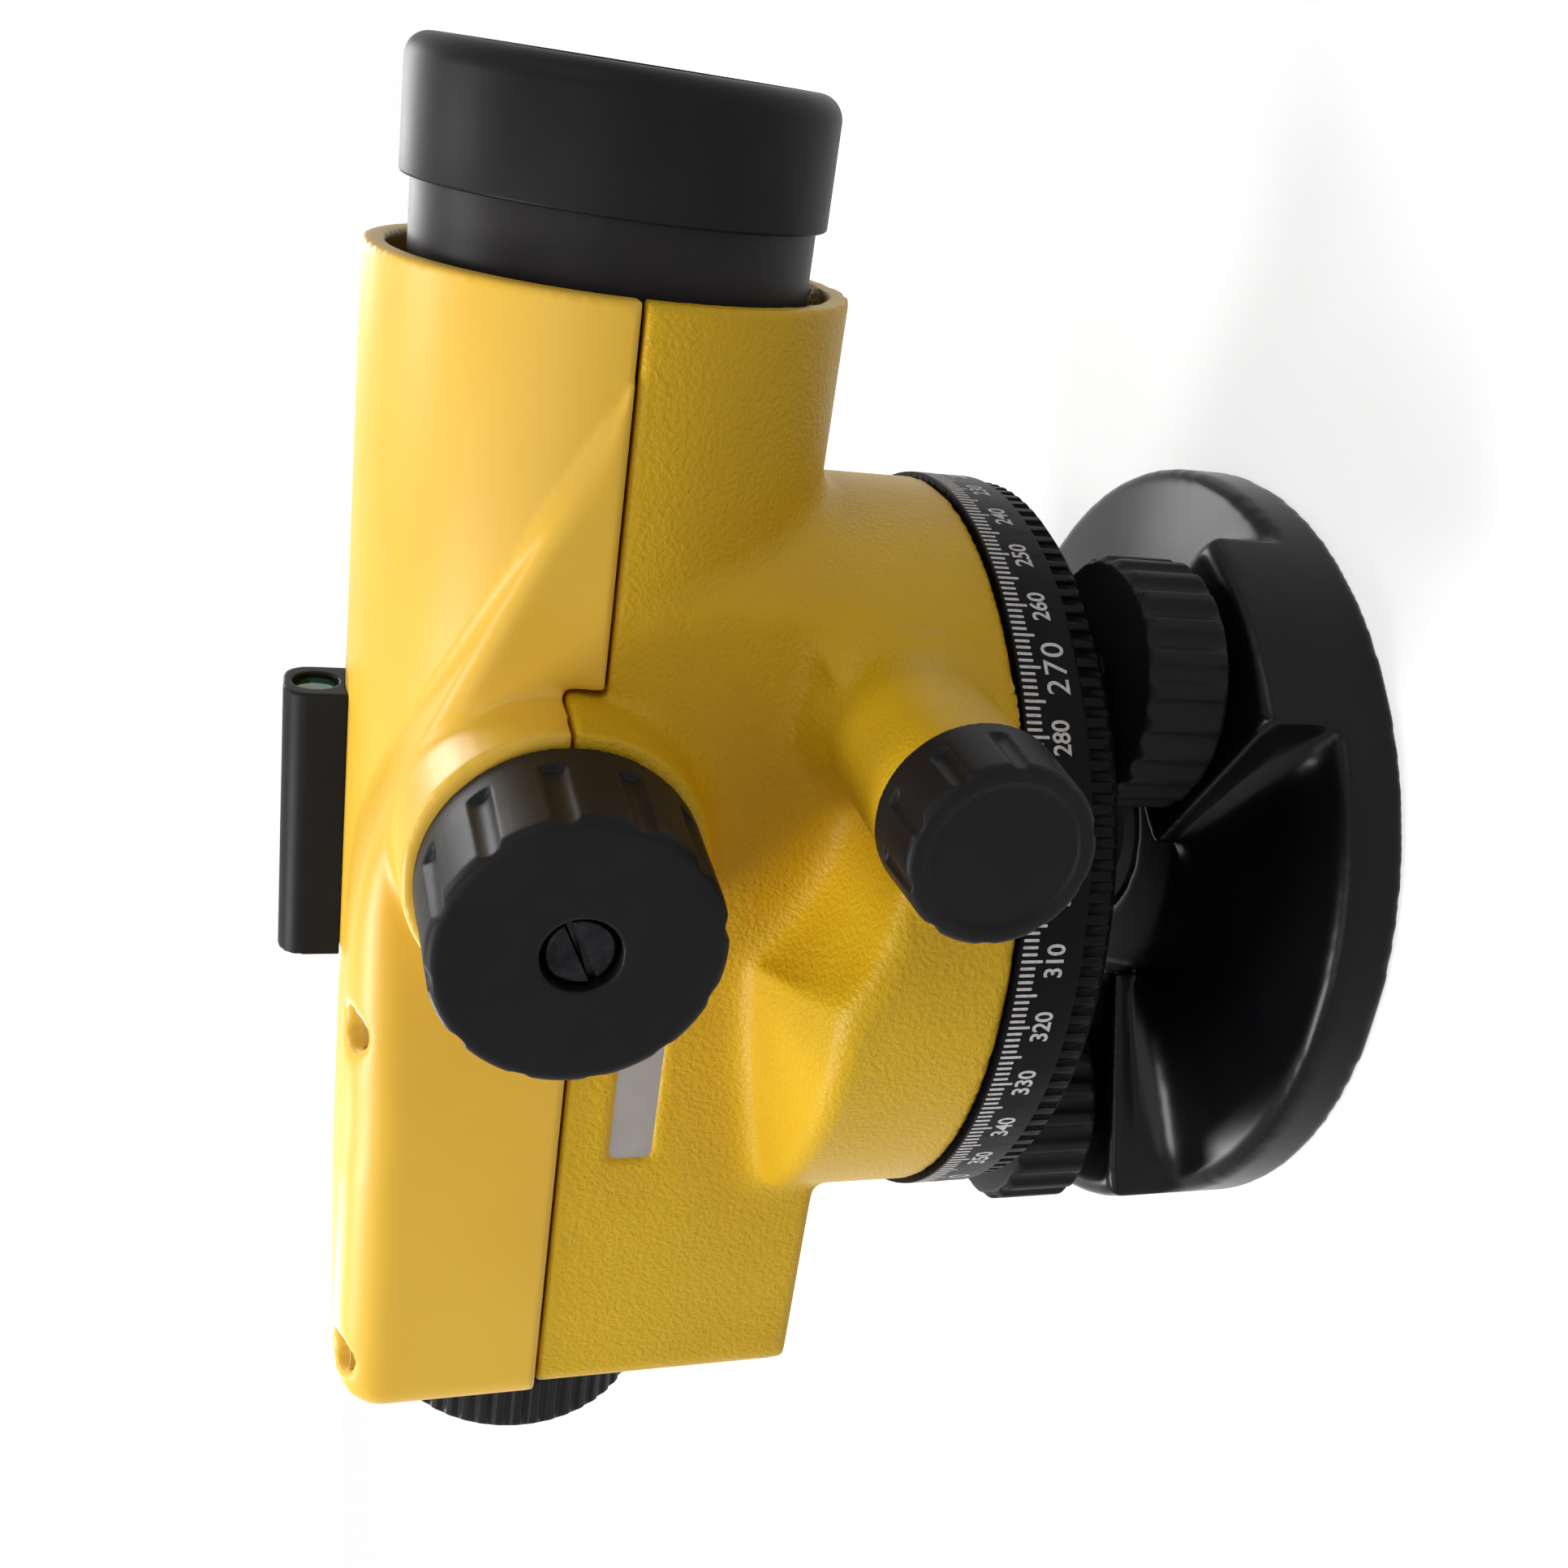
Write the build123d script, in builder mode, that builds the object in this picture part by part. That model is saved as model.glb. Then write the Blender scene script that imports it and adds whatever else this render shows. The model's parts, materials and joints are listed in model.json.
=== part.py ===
import os
from math import cos, pi, radians, sin

from build123d import *

os.makedirs("parts", exist_ok=True)

# Automatic level, in millimetres. +X is the line of sight towards the objective, +Z is up,
# the focus knob is on the -Y side, and the origin is on the vertical axis at the tripod face.

# Fits and gaps
run_gap = 0.05  # radial running fit of a shaft in its bush
seat_gap = 0.02  # radial gap of a piece pressed or screwed into its seat
body_gap = 0.3  # gap between pieces that move past each other

# Base plate and its tripod thread
base_rim = 15.0  # from the footscrew circle out to the base plate's rim
base_wall_h = 8.0
base_edge_r = 2.4
base_edge_rise = 0.4
base_top_z = 13.5
base_top_r = 22.0
tripod_thread_r = 7.94
tripod_bush_r = 12.0
tripod_bush_chamfer = 0.5
pad_top_z = 17.9
pad_half_w = 13.8
pad_inner_r = 22.0
pad_edge_r = 0.7

# Footscrews
foot_angles = {"footscrew_front_right": -34.8, "footscrew_rear_right": -154.8, "footscrew_left": 85.2}
foot_open_angle = foot_angles["footscrew_left"]
foot_ball_r = 5.0
foot_ball_z = 11.6
foot_neck_r = 3.8
foot_hub_r = 8.0
foot_hub_z = 18.6
foot_knob_r = 15.6
foot_knob_z = 20.7
foot_knob_h = 10.5
foot_knob_chamfer = 0.8
foot_flutes = 24
foot_flute_r = 1.5
foot_flute_out = 0.7  # how far a flute's centre lies outside the knob
foot_stud_r = 4.0
foot_pin_depth = 2.2  # how far the stud ends below the top of its nut
retainer_r = 8.0
retainer_h = 2.5
retainer_hole_r = 4.35

# Levelling head, the piece that the footscrews raise
arm_gap = 2.5
arm_h = 6.3
arm_r = 7.6
arm_room = 0.5  # room between an arm's end and the circle's wall
nut_r = 5.8
nut_open_gap = 1.1  # free room round the footscrew where the screw linkage is left open
head_disc_r = 34.0
head_spigot_r = 31.0
head_spigot_h = 3.2
hub_low_r = 16.0
hub_low_z = 24.0
hub_r = 18.0
hub_top_z = 54.0
column_r = 12.0
column_top_z = 62.0
bush_r = 9.0
bush_flange_h = 1.0
clutch_h = 0.8
clutch_r = 17.5
wheel_r = 21.2
wheel_h = 6.4
wheel_teeth = 72
wheel_tooth_r = 0.45

# Spindle
spindle_r = 7.0
spindle_flange_step = 2.0  # how far the flange lies inside the frame's foot
spindle_flange_h = 2.8
spindle_end_r = 5.0
spindle_end_h = 3.5
spindle_nut_r = 10.0

# Graduated circle
circle_stand = 0.7  # how far the scale stands out past the drum
circle_top_z = 46.9
circle_scale_z = 39.4
circle_step = 0.6  # how far the grip lies inside the scale
circle_step_h = 0.4
circle_bottom_z = 34.8
circle_grip_chamfer = 1.6
circle_wall = 2.8
circle_upper_wall = 2.3
circle_web_h = 2.0
circle_grips = 120
circle_grip_cut_r = 0.75
circle_grip_out = 0.2
circle_grip_stop = 0.6

# Telescope housing
axis_z = 91.5
tube_r = 27.4
wall = 2.5
tube_front_x = 70.8
body_rear_x = -71.0
body_bottom_z = 58.0
body_corner_r = 3.5
part_z = 92.2
part_gap = 0.4
cover_lip = 0.5  # how far the cover stands out past the body
cover_rear_x = -72.3
cover_drop = 0.9  # how far the cover's flat top lies below the crown of the tube
cover_edge_r = 6.5
cover_rear_r = 4.0
cover_tip_x = 62.5
cavity_crest_x = -8.5
cavity_mid_x = 20.0
cavity_mid_share = 0.57
cavity_tip_x = 42.5
cavity_slope = 0.48
crest_rear_x = -36.0
# Sections of the falling crest: station, share of the cover's height that stands, and edge radius
crest_sections = (
    (crest_rear_x, 1.0, cover_edge_r),
    (-21.0, 1.0, cover_edge_r),
    (-7.0, 0.994, 5.6),
    (5.0, 0.957, 4.2),
    (16.0, 0.844, 3.2),
    (27.0, 0.66, 2.7),
    (38.0, 0.465, 2.3),
    (49.0, 0.254, 1.8),
    (57.0, 0.102, 1.1),
    (cover_tip_x, 0.008, 0.1),
)
tube_start_x = -16.0
drum_r = 47.8
drum_bottom_z = 47.2
drum_edge_z = 66.0
drum_edge_r = 3.0
shoulder_z = 72.0
shoulder_step = 0.4
floor_z = 70.6
rear_floor_x = -44.0
scoop_x = 14.5
scoop_r = 25.0
scoop_bottom_z = 62.0
cavity_wall = 3.0
cavity_top_z = 56.8
eye_hole_r = 13.2
cut_over = 1.0  # how far a cut runs past the face that it opens

# Focus drive
focus_x = 11.7
focus_z = 96.8
boss_r = 17.1
boss_taper = 2.0
boss_len = 10.0
focus_bush_r = 5.0
focus_shaft_r = 1.9
knob_clear = 0.5  # gap between a knob and its boss
knob_len = 15.8
knob_back_r = 15.4
knob_edge_r = 1.3
knob_flutes = 12
knob_flute_r = 1.9
knob_flute_depth = 0.85
knob_flute_len = 12.0
knob_recess_r = 4.1
knob_recess_depth = 3.0
knob_shaft_sink = 1.0
knob_screw_gap = 0.4
knob_screw_sink = 0.8
knob_screw_chamfer = 0.4
knob_slot_w = 0.9
knob_slot_depth = 1.0
knob_taper = 1.6
knob_flute_turn = 10.0
knob_slot_turn = 25.0
pinion_r = 2.5
pinion_teeth = 12
pinion_tooth_r = 0.35
rack_h = 2.8
rack_w = 2.8
rack_travel = 9.0
rack_spare = 8.0
rack_clear = 0.6
guide_r = 14.0
guide_bore_r = 12.05
guide_rear_x = -8.0
guide_len = 42.0
cell_len = 12.0
rack_arm_len = 7.0
rack_arm_h = 2.0
rack_arm_clear = 1.0
focus_lens_r = 9.5
focus_lens_t = 2.0

# Horizontal drive
drive_z = 58.0
drive_boss_root_y = 28.7
drive_boss_root_r = 13.4
drive_boss_tip_r = 11.6
drive_boss_stand = 3.4  # how far the bosses stand out past the drum
drive_shaft_r = 2.5
drive_bush_r = 4.5
drive_knob_len = 9.6
drive_knob_back_r = 10.4
drive_knob_face_r = 9.6
drive_knob_edge_r = 1.0
drive_knob_floor = 3.0
drive_face_sink = 0.4
drive_face_rim = 1.6
drive_flutes = 10
drive_flute_r = 1.5
drive_flute_depth = 0.7
drive_flute_len = 7.2
drive_knob_taper = 2.5
drive_bush_len = 12.0
worm_grooves = 5
worm_groove_pitch = 2.6
worm_groove_r = 0.5
worm_r = 5.2
worm_len = 14.0
worm_room = 2.0

# Objective
objective_wall = 2.0
objective_tube_x = 40.0
objective_tube_end_x = 89.0
hood_wall = 1.2
hood_rear_x = 77.8
hood_front_x = 92.2
hood_front_edge_r = 2.8
hood_rear_edge_r = 0.8
hood_lip = 2.2
cell_wall = 2.6
lens_rear_x = 74.0
lens_front_x = 82.0
lens_joint_x = 78.4
lens_sag = 2.0
lens_air = 0.3
lens_seat = 1.3
lens_ring_x = 80.4
cell_rear_x = 72.0
cell_front_x = 84.0
seal_x = 64.0
seal_w = 3.0
seal_t = 2.3

# Inner frame
frame_plate_h = 3.0
frame_half_w = 16.4
frame_rear_x = -62.0
bulkhead_x = 36.0
bulkhead_gap = 0.6
cradle_half_w = 14.2
cradle_w = 5.0
cradle_top_z = 90.6
spigot_wall = 1.6
spigot_len = 6.0
frame_screw_pitch_r = 12.5
frame_screw_angles = (45, 135, 225, 315)
frame_boss_r = 20.0
screw_r = 1.6
screw_head_r = 2.8
screw_head_h = 2.2
screw_hex_r = 1.3

# Compensator
comp_x = -34.0
comp_half_x = 16.0
comp_half_y = 15.0
comp_cheek = 2.0
comp_base_h = 3.0
comp_head_room = 5.5
comp_bar_h = 3.0
comp_bar_half_x = 4.0
prism_half = 7.0
prism_gap = 2.0
prism_inset = 0.5
prism_lift = 1.0
prism_spare = 1.0
tape_len = 8.0
tape_w = 3.0
tape_t = 0.25
tape_y = 7.5
hanger_h = 2.5
hanger_arm_t = 2.0
hanger_plate_t = 1.0
magnet_r = 3.2
magnet_h = 3.5
magnet_y = 8.0
damper_gap = 1.0

# Eyepiece
eye_tube_r = 13.0
eye_bore_r = 10.5
eye_tube_front_x = -61.0
eye_tube_end_x = -84.0
eye_collar_r = 17.2
eye_collar_x = -72.5
eye_collar_h = 4.8
ring_r = 18.5
ring_h = 9.2
ring_ribs = 48
ring_rib_r = 0.62
ring_rib_out = 0.12
ring_chamfer = 0.8
ring_web_r = 10.9
guard_r = 14.0
guard_tip_r = 12.6
guard_len = 6.2
guard_bore_r = 9.5
guard_chamfer = 1.0
eye_cell_len = 15.0
eye_cell_rear_x = -82.5
eye_lens_r = 8.5
eye_lens_t = 3.4
eye_lens_seat = 0.8
reticle_x = -60.5
reticle_w = 3.5
reticle_r = 9.0
reticle_t = 1.5
reticle_seat = 1.0
mount_wall_x = -66.0
mount_wall_w = 10.0
mount_half_w = 15.6

# Circular level and its mirror
level_x = -8.0
level_out = 9.8  # how far the level's centre lies outside the housing's side
level_pad_z = 69.6
level_pad_r = 9.4
level_flange_z = 70.1
level_flange_h = 1.5
level_cup_r = 7.4
level_cup_h = 5.2
vial_r = 6.5
vial_h = 5.0
vial_edge_r = 0.6
level_screw_r = 0.8
level_screw_pitch_r = 8.45
level_screw_head_r = 0.95
level_screw_bite = 3.0
level_screw_angles = (90, 210, 330)
mirror_z = 92.6
mirror_h = 15.0
mirror_len = 20.0
mirror_depth = 18.8
mirror_wall = 1.5
mirror_t = 1.0

# Sight, plate and screws of the housing
sight_rear_x = -17.2
sight_front_x = 18.3
sight_half_w = 4.6
sight_h = 7.1  # height above the crown of the tube
sight_edge_r = 3.0
sight_bore_r = 2.7
sight_bore_drop = 3.7
sight_lens_t = 1.5
sight_lens_inset = 0.8
plate_x = -24.0
plate_z = 83.3
plate_len = 20.0
plate_h = 5.6
plate_t = 0.4
plate_recess = 0.8
cover_screw_xs = (-64.2, -15.5)
cover_screw_in = 3.6
post_in = 4.4
post_r = 3.4
cover_screw_r = 1.4
cover_screw_head_r = 2.45
cover_pocket_r = 2.65
cover_screw_head_h = 1.2
cover_screw_bite = 8.0
cover_screw_slot = 0.7
cover_screw_end_gap = 0.5
cover_pocket_depth = 3.4

# Sizes worked out from the ones above
circle_r = drum_r + circle_stand
circle_grip_r = circle_r - circle_step
circle_inner_r = circle_grip_r - circle_wall
circle_upper_inner_r = circle_r - circle_upper_wall
foot_pitch_r = circle_inner_r - arm_room - arm_r
base_r = foot_pitch_r + base_rim
arm_z = foot_knob_z + foot_knob_h + arm_gap
arm_top_z = arm_z + arm_h
cover_top_z = axis_z + tube_r - cover_drop
cover_recess_z = cover_top_z - cover_pocket_depth
cover_half = tube_r + cover_lip
shoulder_r = tube_r - shoulder_step
body_top_z = part_z - part_gap / 2
cover_bottom_z = part_z + part_gap / 2
inner_half = tube_r - wall
inner_r = tube_r - wall
objective_tube_r = inner_r - seal_t
objective_bore_r = objective_tube_r - objective_wall
hood_r = objective_tube_r + hood_wall
hood_lip_r = objective_tube_r - hood_lip
lens_r = objective_bore_r - cell_wall
light_r = objective_bore_r - spigot_wall
bulkhead_r = inner_r - bulkhead_gap
wheel_z = hub_top_z + clutch_h
spindle_flange_r = frame_boss_r - spindle_flange_step
spindle_flange_z = column_top_z + bush_flange_h + body_gap
frame_z = spindle_flange_z + spindle_flange_h
plate_top_z = floor_z + frame_plate_h
boss_y = tube_r + boss_len
knob_y = boss_y + knob_clear
drive_x = wheel_r + worm_r + body_gap
drive_boss_y = drum_r + drive_boss_stand
drive_knob_y = drive_boss_y + knob_clear
ring_x = eye_collar_x - eye_collar_h - body_gap
ring_end_x = ring_x - ring_h
rack_top_z = focus_z - pinion_r - body_gap
rack_y = -(guide_r + rack_clear)
guide_mid_x = guide_rear_x + guide_len / 2
post_top_z = part_z
foot_pin_z = arm_top_z - foot_pin_depth
comp_top_z = cover_top_z - wall - comp_head_room
hang_z = comp_top_z - comp_bar_h
hanger_z = hang_z - tape_len - hanger_h
hanger_arm_y = prism_half + prism_spare + hanger_arm_t / 2
level_y = tube_r + level_out
level_top_z = level_flange_z + level_flange_h + level_cup_h
vial_z = level_top_z - vial_h
damper_z = plate_top_z + comp_base_h + magnet_h + damper_gap
pinion_pitch = 2 * pi * pinion_r / pinion_teeth
rack_len = 2 * rack_travel + rack_spare
sight_top_z = axis_z + tube_r + sight_h
sight_bore_z = sight_top_z - sight_bore_drop
cover_screw_y = tube_r - cover_screw_in
post_y = tube_r - post_in
cover_screw_points = [(x, side * cover_screw_y) for x in cover_screw_xs for side in (1, -1)]
post_points = [(x, side * post_y) for x in cover_screw_xs for side in (1, -1)]
frame_screw_points = [
    (frame_screw_pitch_r * cos(radians(angle)), frame_screw_pitch_r * sin(radians(angle)))
    for angle in frame_screw_angles
]
level_screw_points = [
    (
        level_x + level_screw_pitch_r * cos(radians(angle)),
        level_y + level_screw_pitch_r * sin(radians(angle)),
    )
    for angle in level_screw_angles
]
worm_groove_ys = [worm_groove_pitch * (i - (worm_grooves - 1) / 2) for i in range(worm_grooves)]


def foot_at(angle):
    return (foot_pitch_r * cos(radians(angle)), foot_pitch_r * sin(radians(angle)))


foot_points = [foot_at(angle) for angle in foot_angles.values()]

# Base plate: a domed disc with three raised pads, each bored for a footscrew's ball
with BuildPart() as base_plate:
    with BuildSketch(Plane.XZ):
        Polygon(
            (0, 0),
            (base_r, 0),
            (base_r, base_wall_h),
            (base_r - base_edge_r, base_wall_h + base_edge_rise),
            (base_top_r, base_top_z),
            (0, base_top_z),
            align=None,
        )
    revolve(axis=Axis.Z)
    with BuildSketch(Plane.XY):
        for angle in foot_angles.values():
            with Locations(Location((0, 0, 0), (0, 0, angle))):
                with Locations(((base_r + pad_inner_r) / 2, 0)):
                    Rectangle(base_r - pad_inner_r + 2 * base_edge_r, 2 * pad_half_w)
        Circle(base_r, mode=Mode.INTERSECT)
    extrude(amount=pad_top_z)
    fillet(base_plate.faces().filter_by(Axis.Z).group_by(Axis.Z)[-1].edges(), pad_edge_r)
    with BuildSketch(Plane.XY):
        Circle(tripod_bush_r + seat_gap)
    extrude(amount=base_top_z, mode=Mode.SUBTRACT)
    with Locations(*[(x, y, pad_top_z) for x, y in foot_points]):
        CounterBoreHole(
            foot_ball_r + body_gap,
            retainer_r + seat_gap,
            retainer_h,
            pad_top_z - foot_ball_z + foot_ball_r + body_gap,
        )
base_plate.part.label = "base_plate"
export_step(base_plate.part, "parts/base_plate.step")

# Threaded metal bush for the tripod's centre screw
with BuildPart() as tripod_bush:
    with BuildSketch():
        Circle(tripod_bush_r)
        Circle(tripod_thread_r, mode=Mode.SUBTRACT)
    extrude(amount=base_top_z)
    chamfer(tripod_bush.edges().group_by(Axis.Z)[-1], tripod_bush_chamfer)
tripod_bush.part.label = "tripod_bush"
export_step(tripod_bush.part, "parts/tripod_bush.step")

# Rings that keep the three balls in the base plate
with BuildPart() as foot_retainers:
    with BuildSketch(Plane.XY.offset(pad_top_z - retainer_h)):
        with Locations(*foot_points):
            Circle(retainer_r)
            Circle(retainer_hole_r, mode=Mode.SUBTRACT)
    extrude(amount=retainer_h)
foot_retainers.part.label = "foot_retainers"
export_step(foot_retainers.part, "parts/foot_retainers.step")

# Footscrews: ball, neck, fluted knob and stud, one body each
for foot_name, foot_angle in foot_angles.items():
    foot_x, foot_y = foot_at(foot_angle)
    with BuildPart() as footscrew:
        with BuildSketch(Plane.XY.offset(foot_knob_z)):
            with Locations((foot_x, foot_y)):
                Circle(foot_knob_r)
        extrude(amount=foot_knob_h)
        chamfer(footscrew.edges(), foot_knob_chamfer)
        with BuildSketch(Plane.XY.offset(foot_knob_z)):
            with Locations(Location((foot_x, foot_y, 0), (0, 0, foot_angle))):
                with PolarLocations(foot_knob_r + foot_flute_out, foot_flutes):
                    Circle(foot_flute_r)
        extrude(amount=foot_knob_h, mode=Mode.SUBTRACT)
        with BuildSketch(Plane.XY.offset(foot_hub_z)):
            with Locations((foot_x, foot_y)):
                Circle(foot_hub_r)
        extrude(amount=foot_knob_z - foot_hub_z)
        with BuildSketch(Plane.XY.offset(foot_ball_z)):
            with Locations((foot_x, foot_y)):
                Circle(foot_neck_r)
        extrude(amount=foot_hub_z - foot_ball_z)
        with BuildSketch(Plane.XY.offset(foot_knob_z + foot_knob_h)):
            with Locations((foot_x, foot_y)):
                Circle(foot_stud_r)
        extrude(amount=foot_pin_z - foot_knob_z - foot_knob_h)
        with Locations((foot_x, foot_y, foot_ball_z)):
            Sphere(foot_ball_r)
    footscrew.part.label = foot_name
    export_step(footscrew.part, f"parts/{foot_name}.step")

# Levelling head: three arms, a disc that carries the circle, and the column for the spindle
with BuildPart() as levelling_head:
    with BuildSketch(Plane.XY.offset(arm_z)):
        Circle(head_disc_r)
        for angle in foot_angles.values():
            with Locations(Location((0, 0, 0), (0, 0, angle))):
                with Locations((foot_pitch_r / 2, 0)):
                    Rectangle(foot_pitch_r, 2 * arm_r)
        with Locations(*foot_points):
            Circle(arm_r)
    extrude(amount=arm_h)
    with BuildSketch(Plane.XY.offset(hub_low_z)):
        Circle(hub_low_r)
    extrude(amount=arm_z - hub_low_z)
    with BuildSketch(Plane.XY.offset(arm_top_z)):
        Circle(head_spigot_r)
    extrude(amount=head_spigot_h)
    with BuildSketch(Plane.XY.offset(arm_top_z)):
        Circle(hub_r)
    extrude(amount=hub_top_z - arm_top_z)
    with BuildSketch(Plane.XY.offset(hub_top_z)):
        Circle(column_r)
    extrude(amount=column_top_z - hub_top_z)
    with BuildSketch(Plane.XY.offset(hub_low_z)):
        Circle(bush_r + seat_gap)
    extrude(amount=column_top_z - hub_low_z, mode=Mode.SUBTRACT)
    with BuildSketch(Plane.XY.offset(arm_z)):
        with Locations(*foot_points):
            Circle(nut_r + seat_gap)
    extrude(amount=arm_h, mode=Mode.SUBTRACT)
levelling_head.part.label = "levelling_head"
export_step(levelling_head.part, "parts/levelling_head.step")

# Footscrew nuts in the arms; the one over the open linkage has room round its screw
with BuildPart() as footscrew_nuts:
    with BuildSketch(Plane.XY.offset(arm_z)):
        for angle in foot_angles.values():
            nut_bore_r = foot_stud_r + (nut_open_gap if angle == foot_open_angle else run_gap)
            with Locations(foot_at(angle)):
                Circle(nut_r)
                Circle(nut_bore_r, mode=Mode.SUBTRACT)
    extrude(amount=arm_h)
footscrew_nuts.part.label = "footscrew_nuts"
export_step(footscrew_nuts.part, "parts/footscrew_nuts.step")

# Bronze bush of the vertical axis
with BuildPart() as centre_bush:
    with BuildSketch(Plane.XY.offset(hub_low_z)):
        Circle(bush_r)
    extrude(amount=column_top_z - hub_low_z)
    with BuildSketch(Plane.XY.offset(column_top_z)):
        Circle(column_r)
    extrude(amount=bush_flange_h)
    with BuildSketch(Plane.XY.offset(hub_low_z)):
        Circle(spindle_r + run_gap)
    extrude(amount=column_top_z + bush_flange_h - hub_low_z, mode=Mode.SUBTRACT)
centre_bush.part.label = "centre_bush"
export_step(centre_bush.part, "parts/centre_bush.step")

# Clutch spring washer under the worm wheel
with BuildPart() as clutch_spring:
    with BuildSketch(Plane.XY.offset(hub_top_z)):
        Circle(clutch_r)
        Circle(column_r + seat_gap, mode=Mode.SUBTRACT)
    extrude(amount=clutch_h)
clutch_spring.part.label = "clutch_spring"
export_step(clutch_spring.part, "parts/clutch_spring.step")

# Worm wheel that the horizontal drive pulls round on
with BuildPart() as worm_wheel:
    with BuildSketch(Plane.XY.offset(wheel_z)):
        Circle(wheel_r)
        with PolarLocations(wheel_r, wheel_teeth):
            Circle(wheel_tooth_r, mode=Mode.SUBTRACT)
        Circle(column_r + seat_gap, mode=Mode.SUBTRACT)
    extrude(amount=wheel_h)
worm_wheel.part.label = "worm_wheel"
export_step(worm_wheel.part, "parts/worm_wheel.step")

# Graduated circle: scale wall, gripped lower edge and the web that rides on the head
with BuildPart() as circle_ring:
    with BuildSketch(Plane.XZ):
        Polygon(
            (circle_inner_r, circle_bottom_z),
            (circle_grip_r - circle_grip_chamfer, circle_bottom_z),
            (circle_grip_r, circle_bottom_z + circle_grip_chamfer),
            (circle_grip_r, circle_scale_z - circle_step_h),
            (circle_r, circle_scale_z),
            (circle_r, circle_top_z),
            (circle_upper_inner_r, circle_top_z),
            (circle_upper_inner_r, arm_top_z + body_gap + circle_web_h),
            (head_spigot_r + body_gap, arm_top_z + body_gap + circle_web_h),
            (head_spigot_r + body_gap, arm_top_z + body_gap),
            (circle_inner_r, arm_top_z + body_gap),
            align=None,
        )
    revolve(axis=Axis.Z)
    with BuildSketch(Plane.XY.offset(circle_bottom_z)):
        with PolarLocations(circle_grip_r + circle_grip_out, circle_grips):
            Circle(circle_grip_cut_r)
    extrude(amount=circle_scale_z - circle_bottom_z - circle_grip_stop, mode=Mode.SUBTRACT)
circle_ring.part.label = "circle_ring"
export_step(circle_ring.part, "parts/circle_ring.step")

# Spindle with its flange under the inner frame
with BuildPart() as spindle:
    with BuildSketch(Plane.XY.offset(hub_low_z)):
        Circle(spindle_r)
    extrude(amount=spindle_flange_z - hub_low_z)
    with BuildSketch(Plane.XY.offset(spindle_flange_z)):
        Circle(spindle_flange_r)
    extrude(amount=spindle_flange_h)
    with BuildSketch(Plane.XY.offset(hub_low_z - spindle_end_h)):
        Circle(spindle_end_r)
    extrude(amount=spindle_end_h)
spindle.part.label = "spindle"
export_step(spindle.part, "parts/spindle.step")

with BuildPart() as spindle_nut:
    with BuildSketch(Plane.XY.offset(hub_low_z - spindle_end_h)):
        RegularPolygon(spindle_nut_r, 6)
        Circle(spindle_end_r + seat_gap, mode=Mode.SUBTRACT)
    extrude(amount=spindle_end_h - body_gap)
spindle_nut.part.label = "spindle_nut"
export_step(spindle_nut.part, "parts/spindle_nut.step")

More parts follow.
